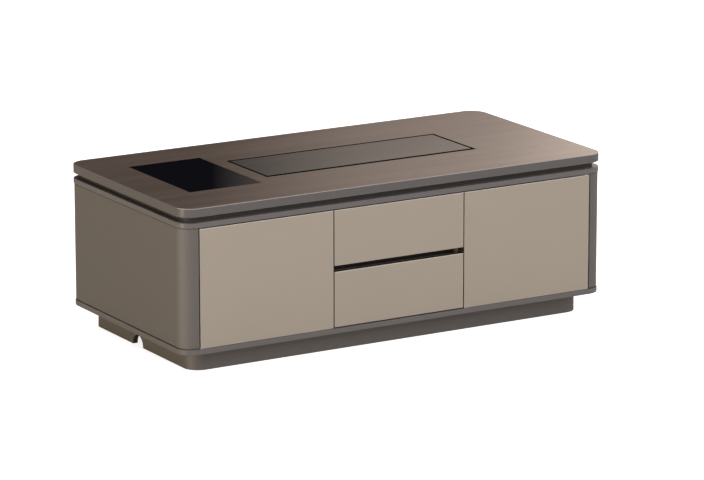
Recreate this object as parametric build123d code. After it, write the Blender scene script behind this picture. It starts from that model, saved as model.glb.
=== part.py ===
"""Gongfu tea table: two doors, two drawers, a draining tea tray and a hob let into the top.

Millimetres. +X runs to the right along the length, +Y to the back and +Z up. The origin is on the
floor, under the middle of the table. Each node is written to parts/NODE.step.
"""

from build123d import *
import math
import os

# ---------------------------------------------------------------- overall
LENGTH = 1400.0
DEPTH = 700.0
HEIGHT = 480.0
CORNER_R = 50.0  # plan corner of the top and of the two boards below it

# ---------------------------------------------------------------- boards
TOP_T = 25.0
SPACER_T = 16.5
BOARD_T = 15.0  # bottom board, carcass top, partitions, back panel
TOP_EASE = 1.6  # chamfer on the top's upper edge
EDGE_EASE = 1.0  # chamfer on the other board edges
SPACER_INSET = 19.0
SPACER_W = 55.0
CROSS_RAIL_W = 26.0
CROSS_RAIL_GAP = 8.0  # right cross rail from the drain pan's flange

PLINTH_H = 61.0
PLINTH_INSET = 50.0
PLINTH_R = 45.0
PLINTH_T = 15.0
PLINTH_RETURN = 70.0  # how far a bent plinth end runs along the front and back
ARCH_R = 30.0
ARCH_RISE = 2.0  # straight foot of the cable arch
ARCH_Y = 20.0

SHELL_T = 15.0
SHELL_INSET = 2.0
STILE_W = 50.0
GROOVE_DEPTH = 6.0
GROOVE_LOW_H = 4.0
GROOVE_HIGH_H = 1.5

# ---------------------------------------------------------------- fronts
FRONT_T = 18.0
GAP = 3.5  # round and between the doors and drawer fronts
DOOR_GAP_LOW = 1.0  # under a door, which stands lower than the drawer fronts
SLOT_H = 18.0  # finger slot between the drawer fronts
FRONT_EDGE_R = 0.8
FRONT_REST = 1.0  # from a closed front to the partition behind it

# ---------------------------------------------------------------- door pivots
PIVOT_IN = 7.0  # pivot axis from the door's edge and from its front face
PIN_R = 2.5
PIN_CLEAR = 0.05
PIN_DEPTH = 9.0
PLATE_L = 60.0
PLATE_W = 11.0
PLATE_T = 2.0
COLLAR_R = 5.0  # the door's weight rests on the lower collar
BUSH_R = 4.5  # to the corners of its flats, which keep it from turning
BUSH_DEPTH = 11.0

# ---------------------------------------------------------------- push latches
LATCH_W = 14.0
LATCH_DROP = 16.0  # latch axis below the carcass top
LATCH_L = 52.0
LATCH_SIDE = 14.0  # latch axis from the partition's face
LATCH_EAR_L = 14.0
LATCH_EAR_T = 3.0
PLUNGER_R = 3.5
PLUNGER_CLEAR = 0.05
PLUNGER_L = 43.0
PLUNGER_TRAVEL = 3.0
PLUNGER_GAP = 0.3  # tip to strike plate with the door closed
PLUNGER_PROUD = 2.2  # tip left outside the body at the end of its travel
STRIKE_W = 18.0
STRIKE_T = 1.0

# ---------------------------------------------------------------- drawers
SIDE_T = 12.0
END_T = 12.0
DRAWER_BOTTOM_T = 6.0
DRAWER_GROOVE = 6.0
DRAWER_BOTTOM_UP = 6.0  # underside of the bottom above the side's lower edge
DRAWER_EASE = 1.5  # chamfer on the upper edges of a drawer's sides
BOX_CLEAR_CHANNEL = 4.0
BOX_CLEAR_FRONT_EDGE = 16.0
BOX_CLEAR_FLOOR = 12.0

RUNNER_L = 500.0
RUNNER_T = 12.7
RUNNER_SET_BACK = 3.0
RAIL_GAUGE = 1.2
RAIL_BEND = 1.4  # how far a bend cuts across the corner of the middle line

# ---------------------------------------------------------------- finger channel
CHANNEL_HOOK = 12.0  # how far the channel's mouth runs behind each drawer front
CHANNEL_D = 26.0
CHANNEL_T = 1.5
CHANNEL_R = 9.0
CHANNEL_CLEAR = 0.5  # channel lips to the drawer fronts

# ---------------------------------------------------------------- hob
HOB_FROM_END = 121.0
HOB_Y = 16.5
HOB_W = 232.0
HOB_D = 368.0
GLASS_T = 4.0
GLASS_FIT = 0.4
GLASS_EDGE = 0.6
GLASS_R = 3.0
HOUSING_W = 205.0
HOUSING_D = 340.0
HOUSING_H = 62.0
HOUSING_WALL = 1.5
HOUSING_FIT = 2.0
COIL_R = 78.0
COIL_BORE_R = 14.0
COIL_T = 6.0
COIL_PITCH = 170.0
CARRIER_W = 164.0
CARRIER_T = 3.0
CARRIER_LEG_W = 8.0
COIL_AIR = 2.0  # coil to glass
GRILLE_PITCH = 10.0
GRILLE_SLOT = 4.0
GRILLE_ROWS = 3  # slots on each side of the middle one
FAN_SIZE = 80.0
FAN_T = 20.0
FAN_HUB_R = 17.0  # to the corners of the hub, which has a flat for each blade
FAN_R = 36.0
FAN_PIN_R = 2.0
FAN_PIN_CLEAR = 0.05
FAN_PIN_SHORT = 2.0  # pin's end below the frame's rim
FAN_BAR_W = 5.0
FAN_BAR_T = 2.0
FAN_END_GAP = 1.0  # rotor to the bars, and to the frame's rim
FAN_CAP_T = 0.5  # closed end of the rotor's hub, over the pin
FAN_BLADES = 7
BLADE_CHORD = 16.0
BLADE_T = 1.5
BLADE_PITCH = 35.0  # degrees
BLADE_ROOT = 3.0  # blade's inner end from the circle of the hub's corners
FAN_TIP_CLEAR = 1.0
CARD_W = 90.0
CARD_D = 100.0
CARD_T = 1.6
CARD_SHIFT = 10.0  # card's middle behind the back coil's
POST_H = 6.0
POST_W = 6.0
POST_IN = 5.0
SINK_W = 50.0
SINK_D = 40.0
SINK_BASE_T = 3.4
SINK_H = 20.0
SINK_SHIFT = -10.0  # heat sink's middle from the back coil's
FIN_T = 2.0
FINS = 6
CABLE_HOLE_R = 6.5  # to the corners of the keyed hole
CABLE_HOLE_IN = 25.0  # cable hole from the housing's two sides
CABLE_R = 3.0
GLAND_R = 9.0
GLAND_DROP = 12.0
CLAMP_W = 24.0
CLAMP_REACH = 24.0
CLAMP_T = 2.0
CLAMP_UP = 3.0  # lower end of a clamp above the housing's underside

# ---------------------------------------------------------------- tea tray and drain pan
TRAY_D = 225.0
TRAY_T = 12.0
TRAY_Y = 7.5
TRAY_FROM_HOB = 56.0
TRAY_FROM_END = 301.0  # slab's right end from the table's
TRAY_EDGE = 0.6
GROOVE_SIDE = 5.0
GROOVE_BACK = 3.0
GROOVE_FRONT = 8.0
GROOVE_EAR = 12.0  # how far the front groove runs past the slab's right end
PAN_T = 1.0
PAN_FLANGE = 14.0
PAN_DEPTH = 6.0  # floor below the top's underside, at the dry end
PAN_FALL = 4.0  # fall of the floor towards the outlet
FOOT_W = 18.0
FOOT_IN = 32.0
FOOT_SUMP_CLEAR = 8.0
FEET_LONG = 3
SUMP_R = 26.0
SUMP_DROP = 1.8
DRAIN_FROM_RIGHT = 32.0
DRAIN_FROM_FRONT = 45.0
SPIGOT_R = 9.0  # bare end, for the hose
THREAD_R = 10.0
SPIGOT_BORE_R = 7.2
SPIGOT_FLANGE_R = 20.0  # to the corners of its flats, which hold it while the nut turns
SPIGOT_FLANGE_T = 2.0
SPIGOT_FIT = 0.05
SPIGOT_OUT = 28.0  # bare spigot under the carcass top
SPIGOT_SHOULDER = 4.0  # its thread starts this far above the carcass top's underside
NUT_R = 17.0
NUT_T = 6.0
NUT_ROOM = 14.0
STRAINER_R = 17.0
STRAINER_T = 1.5
STRAINER_SLOT_W = 2.5
STRAINER_SLOT_L = 12.0
STRAINER_PITCH = 5.0
STRAINER_ROWS = 1  # slots on each side of the middle one

# ---------------------------------------------------------------- cable grommet
GROMMET_FROM_END = 100.0
GROMMET_R = 22.0
GROMMET_BORE_R = 17.0
GROMMET_LIP = 5.0  # corners of the eight-sided lip beyond the sleeve
GROMMET_LIP_T = 2.0

OVERCUT = 1.0  # how far a cut runs past the face that it opens
FAR = 5000.0  # half size of a block that cuts off everything on one side
HEX = 6
OCTAGON = 8

# ---------------------------------------------------------------- levels and lines worked out
Z_BOARD = PLINTH_H
Z_FLOOR = PLINTH_H + BOARD_T
Z_UNDER = HEIGHT - TOP_T
Z_RING = Z_UNDER - SPACER_T
Z_BODY = Z_RING - BOARD_T
X_END = LENGTH / 2
Y_END = DEPTH / 2
X_STILE = X_END - STILE_W
Y_FACE = -Y_END + SHELL_INSET
Y_FRONT_BACK = Y_FACE + FRONT_T
Y_PART = Y_FRONT_BACK + FRONT_REST
Y_BACK_IN = Y_END - SHELL_INSET - BOARD_T
FRONT_W = (2 * X_STILE - 4 * GAP) / 3
X_PART = (FRONT_W + GAP) / 2
X_PART_IN = X_PART - BOARD_T / 2
X_PART_OUT = X_PART + BOARD_T / 2
Z_FRONT_LOW = Z_FLOOR + GAP
Z_DOOR_LOW = Z_FLOOR + DOOR_GAP_LOW
Z_FRONT_HIGH = Z_BODY - GAP
Z_SLOT = (Z_FRONT_LOW + Z_FRONT_HIGH) / 2
Z_SLOT_LOW = Z_SLOT - SLOT_H / 2
Z_SLOT_HIGH = Z_SLOT + SLOT_H / 2
CHANNEL_HALF = SLOT_H / 2 + CHANNEL_HOOK + CHANNEL_T

HOB_X = -X_END + HOB_FROM_END + HOB_W / 2
Z_GLASS_LOW = HEIGHT - GLASS_T
Z_HOUSING = Z_GLASS_LOW - HOUSING_H
TRAY_LEFT = HOB_X + HOB_W / 2 + TRAY_FROM_HOB
TRAY_RIGHT = X_END - TRAY_FROM_END
TRAY_FRONT = TRAY_Y - TRAY_D / 2
TRAY_BACK = TRAY_Y + TRAY_D / 2
PAN_LEFT = TRAY_LEFT - GROOVE_SIDE
PAN_RIGHT = TRAY_RIGHT + GROOVE_SIDE
PAN_FRONT = TRAY_FRONT - GROOVE_FRONT
PAN_BACK = TRAY_BACK + GROOVE_BACK
DRAIN_X = TRAY_RIGHT - DRAIN_FROM_RIGHT
DRAIN_Y = TRAY_FRONT + DRAIN_FROM_FRONT
Z_SLAB_LOW = HEIGHT - TRAY_T


# ================================================================ shared forms
def block(x0, x1, y0, y1, z0, z1):
    """Square block between two corners."""
    return Pos((x0 + x1) / 2, (y0 + y1) / 2, (z0 + z1) / 2) * Box(x1 - x0, y1 - y0, z1 - z0)


def disc(x, y, z0, z1, radius):
    """Upright cylinder from z0 to z1."""
    return Pos(x, y, (z0 + z1) / 2) * Cylinder(radius, z1 - z0)


def prism(x, y, z0, z1, radius, sides):
    """Upright prism on a regular polygon, from z0 to z1."""
    return extrude(Pos(x, y, z0) * RegularPolygon(radius, sides), z1 - z0)


def rod_y(x, z, y0, y1, radius):
    """Cylinder along Y from y0 to y1."""
    return Pos(x, (y0 + y1) / 2, z) * Rot(90, 0, 0) * Cylinder(radius, y1 - y0)


def board(length, depth, radius, z0, z1, x=0.0, y=0.0):
    """Flat board with rounded plan corners."""
    return extrude(Pos(x, y, z0) * RectangleRounded(length, depth, radius), z1 - z0)


def ease(solid, chamfer_low, chamfer_high):
    """Chamfer the outer bottom and top edges of a board."""
    faces = solid.faces().sort_by(Axis.Z)
    eased = chamfer(faces[-1].edges(), chamfer_high)
    low = eased.faces().sort_by(Axis.Z)[0]
    return chamfer(low.edges(), chamfer_low)


def mirrored(solid):
    """The other hand of a piece, across the middle of the table."""
    return mirror(solid, about=Plane.YZ)


def both_hands(solid):
    """A piece and its mirror image, as one group."""
    return [solid, mirrored(solid)]


def strip_section(points, radius, gauge):
    """Closed section of a bent sheet strip, from the corners of its middle line."""
    return trace(FilletPolyline(*points, radius=radius), gauge)


def extrude_y(section, y0, y1):
    """Section drawn as (x, z), run from y0 to y1."""
    plane = Plane(origin=(0, y1, 0), x_dir=(1, 0, 0), z_dir=(0, -1, 0))
    return extrude(plane * section, y1 - y0)


def extrude_x(section, x0, x1):
    """Section drawn as (y, z), run from x0 to x1."""
    plane = Plane(origin=(x0, 0, 0), x_dir=(0, 1, 0), z_dir=(1, 0, 0))
    return extrude(plane * section, x1 - x0)


def write(name, solids):
    """Write one node, a single solid or a group of separate ones."""
    group = solids if isinstance(solids, list) else [solids]
    flat = [solid for shape in group for solid in shape.solids()]
    shape = flat[0] if len(flat) == 1 else Compound(children=flat)
    shape.label = name
    export_step(shape, os.path.join("parts", name + ".step"))


# ================================================================ plinth
def plinth_ring():
    """Whole plinth outline as one ring, cut into its boards below."""
    length = LENGTH - 2 * PLINTH_INSET
    depth = DEPTH - 2 * PLINTH_INSET
    outer = board(length, depth, PLINTH_R, 0, PLINTH_H)
    inner = board(
        length - 2 * PLINTH_T,
        depth - 2 * PLINTH_T,
        PLINTH_R - PLINTH_T,
        -OVERCUT,
        PLINTH_H + OVERCUT,
    )
    return outer - inner


def cable_arch():
    """The arch cut in the left end, a half circle on a short straight foot."""
    x = -X_END + PLINTH_INSET + PLINTH_T / 2
    arch = Pos(x, ARCH_Y, ARCH_RISE) * Rot(0, 90, 0) * Cylinder(ARCH_R, 2 * PLINTH_T)
    y0 = ARCH_Y - ARCH_R
    y1 = ARCH_Y + ARCH_R
    return arch + block(x - PLINTH_T, x + PLINTH_T, y0, y1, -ARCH_R, ARCH_RISE)


def plinth():
    """Two bent ends, a front and a back board between them, and two rails across."""
    ring = plinth_ring()
    x_joint = X_END - PLINTH_INSET - PLINTH_RETURN
    left = ring & block(-FAR, -x_joint, -FAR, FAR, 0, PLINTH_H)
    write("plinth_left", left - cable_arch())
    write("plinth_right", mirrored(left))
    write("plinth_front", ring & block(-x_joint, x_joint, -FAR, 0, 0, PLINTH_H))
    write("plinth_back", ring & block(-x_joint, x_joint, 0, FAR, 0, PLINTH_H))
    y_in = Y_END - PLINTH_INSET - PLINTH_T
    rail = block(X_PART_OUT, X_PART_OUT + PLINTH_T, -y_in, y_in, 0, PLINTH_H)
    write("plinth_rails", both_hands(rail))


# ================================================================ carcass
def pivot_place():
    """X and Y of the left door's pivot axis."""
    return -X_STILE + GAP + PIVOT_IN, Y_FACE + PIVOT_IN


def bush_prism(x, y, z0, z1):
    """Outside of a pivot bush, and the recess that it is pressed into."""
    return prism(x, y, z0, z1, BUSH_R, OCTAGON)


def bottom_board():
    """Board on the plinth, bored for the door bushes and the cable grommet."""
    solid = ease(board(LENGTH, DEPTH, CORNER_R, Z_BOARD, Z_FLOOR), EDGE_EASE, EDGE_EASE)
    x, y = pivot_place()
    for side in (1, -1):
        solid -= bush_prism(side * x, y, Z_FLOOR - BUSH_DEPTH, Z_FLOOR + OVERCUT)
    solid -= disc(*grommet_place(), Z_BOARD - OVERCUT, Z_FLOOR + OVERCUT, GROMMET_R)
    write("bottom_board", solid)


def grommet_place():
    """X and Y of the cable grommet, behind the arch."""
    return -X_END + GROMMET_FROM_END, ARCH_Y


def cable_grommet():
    """Sleeve through the bottom board, with a lip on top."""
    x, y = grommet_place()
    z_top = Z_FLOOR + GROMMET_LIP_T
    solid = disc(x, y, Z_BOARD, Z_FLOOR, GROMMET_R)
    solid += prism(x, y, Z_FLOOR, z_top, GROMMET_R + GROMMET_LIP, OCTAGON)
    write("cable_grommet", solid - disc(x, y, Z_BOARD - OVERCUT, z_top + OVERCUT, GROMMET_BORE_R))


def side_shells():
    """Bent end panels. Each carries its front and back stile in its rounded corners."""
    length = LENGTH - 2 * SHELL_INSET
    depth = DEPTH - 2 * SHELL_INSET
    radius = CORNER_R - SHELL_INSET
    z_low = Z_FLOOR - OVERCUT
    z_high = Z_BODY + OVERCUT
    outer = board(length, depth, radius, Z_FLOOR, Z_BODY)
    inner = board(length - 2 * SHELL_T, depth - 2 * SHELL_T, radius - SHELL_T, z_low, z_high)
    core = board(
        length - 2 * GROOVE_DEPTH, depth - 2 * GROOVE_DEPTH, radius - GROOVE_DEPTH, z_low, z_high
    )
    band = outer - core
    low = band & block(-FAR, FAR, -FAR, FAR, z_low, Z_FLOOR + GROOVE_LOW_H)
    high = band & block(-FAR, FAR, -FAR, FAR, Z_BODY - GROOVE_HIGH_H, z_high)
    ring = outer - inner - low - high
    left = ring & block(-FAR, -X_STILE, -FAR, FAR, Z_FLOOR, Z_BODY)
    write("side_shell_left", left)
    write("side_shell_right", mirrored(left))


def back_panel():
    """Flush back between the two shells, with the same shadow grooves."""
    y1 = Y_END - SHELL_INSET
    y0 = y1 - GROOVE_DEPTH
    x = X_STILE + OVERCUT
    solid = block(-X_STILE, X_STILE, Y_BACK_IN, y1, Z_FLOOR, Z_BODY)
    solid -= block(-x, x, y0, y1 + OVERCUT, Z_FLOOR - OVERCUT, Z_FLOOR + GROOVE_LOW_H)
    solid -= block(-x, x, y0, y1 + OVERCUT, Z_BODY - GROOVE_HIGH_H, Z_BODY + OVERCUT)
    write("back_panel", solid)


def partitions():
    """Upright boards on each side of the drawers."""
    right = block(X_PART_IN, X_PART_OUT, Y_PART, Y_BACK_IN, Z_FLOOR, Z_BODY)
    write("partition_left", mirrored(right))
    write("partition_right", right)


def carcass_top():
    """Board over the cabinet, cut out for the hob and the drain, bored for the door bushes."""
    solid = ease(board(LENGTH, DEPTH, CORNER_R, Z_BODY, Z_RING), EDGE_EASE, EDGE_EASE)
    solid -= housing_block(HOUSING_FIT, Z_BODY - OVERCUT, Z_RING + OVERCUT)
    solid -= disc(DRAIN_X, DRAIN_Y, Z_BODY - OVERCUT, Z_RING + OVERCUT, NUT_R + NUT_ROOM)
    x, y = pivot_place()
    for side in (1, -1):
        solid -= bush_prism(side * x, y, Z_BODY - OVERCUT, Z_BODY + BUSH_DEPTH)
    write("carcass_top", solid)


def spacer_rails():
    """Set-back rails that make the shadow gap under the top: four round the edge, two across."""
    length = LENGTH - 2 * SPACER_INSET
    depth = DEPTH - 2 * SPACER_INSET
    outline = board(length, depth, CORNER_R - SPACER_INSET, Z_RING, Z_UNDER)
    y_in = depth / 2 - SPACER_W
    x_in = length / 2 - SPACER_W
    front = outline & block(-FAR, FAR, -FAR, -y_in, Z_RING, Z_UNDER)
    rails = [front, mirror(front, about=Plane.XZ)]
    rails += both_hands(block(x_in, x_in + SPACER_W, -y_in, y_in, Z_RING, Z_UNDER))
    hob_side = HOB_X + HOUSING_W / 2 + HOUSING_FIT
    pan_side = PAN_LEFT - PAN_T - PAN_FLANGE
    between = (hob_side + pan_side - CROSS_RAIL_W) / 2
    beyond = TRAY_RIGHT + GROOVE_EAR + PAN_FLANGE + CROSS_RAIL_GAP
    for x0 in (between, beyond):
        rails.append(block(x0, x0 + CROSS_RAIL_W, -y_in, y_in, Z_RING, Z_UNDER))
    write("spacer_rails", rails)


def tabletop():
    """Top board, rebated for the hob glass, cut out for its housing and for the tray's well."""
    solid = ease(board(LENGTH, DEPTH, CORNER_R, Z_UNDER, HEIGHT), EDGE_EASE, TOP_EASE)
    glass_w = HOB_W + 2 * GLASS_FIT
    glass_d = HOB_D + 2 * GLASS_FIT
    glass_r = GLASS_R + GLASS_FIT
    solid -= board(glass_w, glass_d, glass_r, Z_GLASS_LOW, HEIGHT + OVERCUT, HOB_X, HOB_Y)
    solid -= housing_block(HOUSING_FIT, Z_UNDER - OVERCUT, HEIGHT)
    write("tabletop", solid - tray_well(0.0, Z_UNDER - OVERCUT, HEIGHT + OVERCUT))


# ================================================================ doors
def pivot_plate_set(x, y):
    """Plates let into the door's two edges, each with its pin. The lower pin has a collar."""
    x0 = x - PIVOT_IN
    y0 = y - PLATE_W / 2
    low = block(x0, x0 + PLATE_L, y0, y0 + PLATE_W, Z_DOOR_LOW, Z_DOOR_LOW + PLATE_T)
    low += disc(x, y, Z_FLOOR, Z_DOOR_LOW, COLLAR_R)
    low += disc(x, y, Z_FLOOR - PIN_DEPTH, Z_DOOR_LOW, PIN_R)
    high = block(x0, x0 + PLATE_L, y0, y0 + PLATE_W, Z_FRONT_HIGH - PLATE_T, Z_FRONT_HIGH)
    high += disc(x, y, Z_FRONT_HIGH, Z_BODY + PIN_DEPTH, PIN_R)
    return [low, high]


def pivot_bush_set(x, y):
    """Blind bushes flush in the bottom board and in the carcass top."""
    bore_r = PIN_R + PIN_CLEAR
    bore_depth = PIN_DEPTH + OVERCUT
    low = bush_prism(x, y, Z_FLOOR - BUSH_DEPTH, Z_FLOOR)
    low -= disc(x, y, Z_FLOOR - bore_depth, Z_FLOOR + OVERCUT, bore_r)
    high = bush_prism(x, y, Z_BODY, Z_BODY + BUSH_DEPTH)
    high -= disc(x, y, Z_BODY - OVERCUT, Z_BODY + bore_depth, bore_r)
    return [low, high]


def latch_place():
    """X and Z of the left latch's axis, under the carcass top beside the partition."""
    return -X_PART_OUT - LATCH_SIDE, Z_BODY - LATCH_DROP


def door_panel():
    """Left door, with recesses for its pivot plates."""
    x0 = -X_STILE + GAP
    solid = block(x0, x0 + FRONT_W, Y_FACE, Y_FRONT_BACK, Z_DOOR_LOW, Z_FRONT_HIGH)
    solid = fillet(solid.faces().sort_by(Axis.Y)[0].edges(), FRONT_EDGE_R)
    y0 = pivot_place()[1] - PLATE_W / 2
    y1 = y0 + PLATE_W
    x1 = x0 + PLATE_L
    solid -= block(x0 - OVERCUT, x1, y0, y1, Z_DOOR_LOW - OVERCUT, Z_DOOR_LOW + PLATE_T)
    solid -= block(x0 - OVERCUT, x1, y0, y1, Z_FRONT_HIGH - PLATE_T, Z_FRONT_HIGH + OVERCUT)
    return solid


def latch_set():
    """Push latch of the left door: body under the carcass top, plunger, strike plate."""
    x, z = latch_place()
    half = LATCH_W / 2
    y_tip = Y_FRONT_BACK + STRIKE_T + PLUNGER_GAP
    y_body = y_tip + PLUNGER_TRAVEL + PLUNGER_PROUD
    y_end = y_body + LATCH_L
    y_bore = y_tip + PLUNGER_L + PLUNGER_TRAVEL + OVERCUT
    body = block(x - half, x + half, y_body, y_end, z - half, Z_BODY)
    body -= rod_y(x, z, y_body - OVERCUT, y_bore, PLUNGER_R + PLUNGER_CLEAR)
    body += block(x - half, x + half, y_end, y_end + LATCH_EAR_L, Z_BODY - LATCH_EAR_T, Z_BODY)
    plunger = rod_y(x, z, y_tip, y_tip + PLUNGER_L, PLUNGER_R)
    reach = STRIKE_W / 2
    y_strike = Y_FRONT_BACK + STRIKE_T
    strike = block(x - reach, x + reach, Y_FRONT_BACK, y_strike, z - reach, z + reach)
    return body, plunger, strike


def doors():
    """Both doors with their pivots, bushes and push latches."""
    panel = door_panel()
    write("door_left", panel)
    write("door_right", mirrored(panel))
    x, y = pivot_place()
    plates = pivot_plate_set(x, y)
    write("door_pivots_left", plates)
    write("door_pivots_right", [mirrored(plate) for plate in plates])
    bushes = pivot_bush_set(x, y)
    write("pivot_bushes", bushes + [mirrored(bush) for bush in bushes])
    body, plunger, strike = latch_set()
    write("latch_bodies", both_hands(body))
    write("latch_plunger_left", plunger)
    write("latch_plunger_right", mirrored(plunger))
    write("strike_plate_left", strike)
    write("strike_plate_right", mirrored(strike))


# ================================================================ drawers
def drawer(name, z_front_low, z_front_high, z_box_low, z_box_high):
    """Front, sides, inner ends and bottom of one drawer."""
    half = FRONT_W / 2
    front = block(-half, half, Y_FACE, Y_FRONT_BACK, z_front_low, z_front_high)
    front = fillet(front.faces().sort_by(Axis.Y)[0].edges(), FRONT_EDGE_R)
    write(name + "_drawer_front", front)

    x_out = X_PART_IN - RUNNER_T
    x_in = x_out - SIDE_T
    x_groove = x_in + DRAWER_GROOVE
    y0 = Y_FRONT_BACK
    y1 = y0 + RUNNER_SET_BACK + RUNNER_L
    y_groove = y0 + END_T / 2
    z0 = z_box_low + DRAWER_BOTTOM_UP
    z1 = z0 + DRAWER_BOTTOM_T
    side = block(x_in, x_out, y0, y1, z_box_low, z_box_high)
    side = chamfer(side.edges().filter_by(Axis.Y).group_by(Axis.Z)[-1], DRAWER_EASE)
    side -= block(x_in - OVERCUT, x_groove, y0 - OVERCUT, y1 + OVERCUT, z0, z1)
    write(name + "_drawer_sides", both_hands(side))

    inner = block(-x_in, x_in, y0, y0 + END_T, z_box_low, z_box_high)
    inner -= block(-x_in - OVERCUT, x_in + OVERCUT, y_groove, y0 + END_T + OVERCUT, z0, z1)
    back = block(-x_in, x_in, y1 - END_T, y1, z1, z_box_high)
    write(name + "_drawer_ends", [inner, back])
    write(name + "_drawer_bottom", block(-x_groove, x_groove, y_groove, y1, z0, z1))


def bent_strip(points, gauge):
    """Closed section of a strip, its middle line offset to both sides and mitred at each bend."""
    line = [Vector(*point) for point in points]
    runs = [(end - start).normalized() for start, end in zip(line, line[1:])]
    rows = ([], [])
    for point, before, after in zip(line, runs[:1] + runs, runs + runs[-1:]):
        across = (before + after).cross(Vector(0, 0, 1)) / (1 + before.dot(after))
        for row, sign in zip(rows, (1, -1)):
            row.append(point + across * (sign * gauge / 2))
    return make_face(Polyline(*rows[0], *reversed(rows[1]), close=True))


def rail_section(web, reach, half, lip, side):
    """Section of one C rail: web, flanges bent out to reach, lips turned in by lip."""
    x_face = side * X_PART_IN
    x_web = x_face - side * web
    x_lip = x_face - side * reach
    tip = half - lip
    x_bend = x_web - side * RAIL_BEND if reach > web else x_web + side * RAIL_BEND
    upper = [(x_lip, tip), (x_lip, half), (x_bend, half), (x_web, half - RAIL_BEND)]
    lower = [(x, -z) for x, z in reversed(upper)]
    return bent_strip(upper + lower, RAIL_GAUGE)


# Middle line of each rail: web, flange reach, half height, lip. All from the partition's face.
CABINET_RAIL = (RAIL_GAUGE / 2, 9.0, 21.3, 1.7)
MIDDLE_RAIL = (3.2, 10.6, 17.1, 1.5)
DRAWER_RAIL = (RUNNER_T - RAIL_GAUGE / 2, 6.0, 12.9, -1.5)


def runner(name, z_mid):
    """Left and right telescopic runners of one drawer, in their three members."""
    y0 = Y_FRONT_BACK + RUNNER_SET_BACK
    members = (
        ("cabinet_rails", CABINET_RAIL),
        ("middle_rails", MIDDLE_RAIL),
        ("drawer_rails", DRAWER_RAIL),
    )
    for member, shape in members:
        rails = []
        for side in (-1, 1):
            section = Pos(0, z_mid) * rail_section(*shape, side)
            rails.append(extrude_y(section, y0, y0 + RUNNER_L))
        write(name + "_" + member, rails)


def drawers():
    """Upper and lower drawer, each on its pair of runners."""
    z_low = Z_FRONT_LOW + BOX_CLEAR_FLOOR
    z_low_top = Z_SLOT - CHANNEL_HALF - BOX_CLEAR_CHANNEL
    z_up = Z_SLOT + CHANNEL_HALF + BOX_CLEAR_CHANNEL
    z_up_top = Z_FRONT_HIGH - BOX_CLEAR_FRONT_EDGE
    drawer("upper", Z_SLOT_HIGH, Z_FRONT_HIGH, z_up, z_up_top)
    drawer("lower", Z_FRONT_LOW, Z_SLOT_LOW, z_low, z_low_top)
    runner("upper", (z_up + z_up_top) / 2)
    runner("lower", (z_low + z_low_top) / 2)


def finger_channel():
    """C channel behind the slot: fingers reach in and hook behind either drawer front."""
    y_lip = Y_FRONT_BACK + CHANNEL_CLEAR
    y_web = y_lip + CHANNEL_D
    half = CHANNEL_HALF - CHANNEL_T / 2
    points = [(y_lip, half), (y_web, half), (y_web, -half), (y_lip, -half)]
    section = Pos(0, Z_SLOT) * strip_section(points, CHANNEL_R, CHANNEL_T)
    write("finger_channel", extrude_x(section, -X_PART_IN, X_PART_IN))


# ================================================================ hob
def housing_block(grow, z0, z1):
    """Block on the outline of the hob's housing, grown on all sides."""
    x = HOUSING_W / 2 + grow
    y = HOUSING_D / 2 + grow
    return block(HOB_X - x, HOB_X + x, HOB_Y - y, HOB_Y + y, z0, z1)


def coil_places():
    """X and Y of the front and the back coil."""
    return [(HOB_X, HOB_Y - COIL_PITCH / 2), (HOB_X, HOB_Y + COIL_PITCH / 2)]


def fan_place():
    """The fan stands under the front coil."""
    return coil_places()[0]


def hob_housing():
    """Folded tub with a slotted grille under the fan and a keyed hole for the cable gland."""
    z_in = Z_HOUSING + HOUSING_WALL
    solid = housing_block(0.0, Z_HOUSING, Z_GLASS_LOW)
    solid -= housing_block(-HOUSING_WALL, z_in, Z_GLASS_LOW + OVERCUT)
    x, y = fan_place()
    for row in range(-GRILLE_ROWS, GRILLE_ROWS + 1):
        half = math.sqrt(FAN_R**2 - (row * GRILLE_PITCH) ** 2)
        y0 = y + row * GRILLE_PITCH - GRILLE_SLOT / 2
        slot = block(x - half, x + half, y0, y0 + GRILLE_SLOT, Z_HOUSING - OVERCUT, z_in + OVERCUT)
        solid -= slot
    solid -= prism(*gland_place(), Z_HOUSING - OVERCUT, z_in + OVERCUT, CABLE_HOLE_R, HEX)
    write("hob_housing", solid)


def gland_place():
    """X and Y of the cable hole, in the back left corner of the housing."""
    x = HOB_X - HOUSING_W / 2 + CABLE_HOLE_IN
    return x, HOB_Y + HOUSING_D / 2 - CABLE_HOLE_IN


def hob_gland():
    """Cable gland: a neck keyed into the housing's floor and a hexagonal body under it."""
    x, y = gland_place()
    z_low = Z_HOUSING - GLAND_DROP
    z_high = Z_HOUSING + HOUSING_WALL
    solid = prism(x, y, z_low, Z_HOUSING, GLAND_R, HEX)
    solid += prism(x, y, Z_HOUSING, z_high, CABLE_HOLE_R, HEX)
    write("hob_cable_gland", solid - disc(x, y, z_low - OVERCUT, z_high + OVERCUT, CABLE_R))


def hob_coils():
    """Two flat coils, each on a square carrier with four legs."""
    z_coil = Z_GLASS_LOW - COIL_AIR - COIL_T
    z_carrier = z_coil - CARRIER_T
    z_floor = Z_HOUSING + HOUSING_WALL
    reach = CARRIER_W / 2
    coils = []
    carriers = []
    for x, y in coil_places():
        ring = disc(x, y, z_coil, z_coil + COIL_T, COIL_R)
        hole = disc(x, y, z_coil - OVERCUT, z_coil + COIL_T + OVERCUT, COIL_BORE_R)
        coils.append(ring - hole)
        plate = block(x - reach, x + reach, y - reach, y + reach, z_carrier, z_coil)
        for x0 in (x - reach, x + reach - CARRIER_LEG_W):
            for y0 in (y - reach, y + reach - CARRIER_LEG_W):
                plate += block(x0, x0 + CARRIER_LEG_W, y0, y0 + CARRIER_LEG_W, z_floor, z_carrier)
        carriers.append(plate)
    write("hob_coils", coils)
    write("hob_coil_carriers", carriers)


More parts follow.
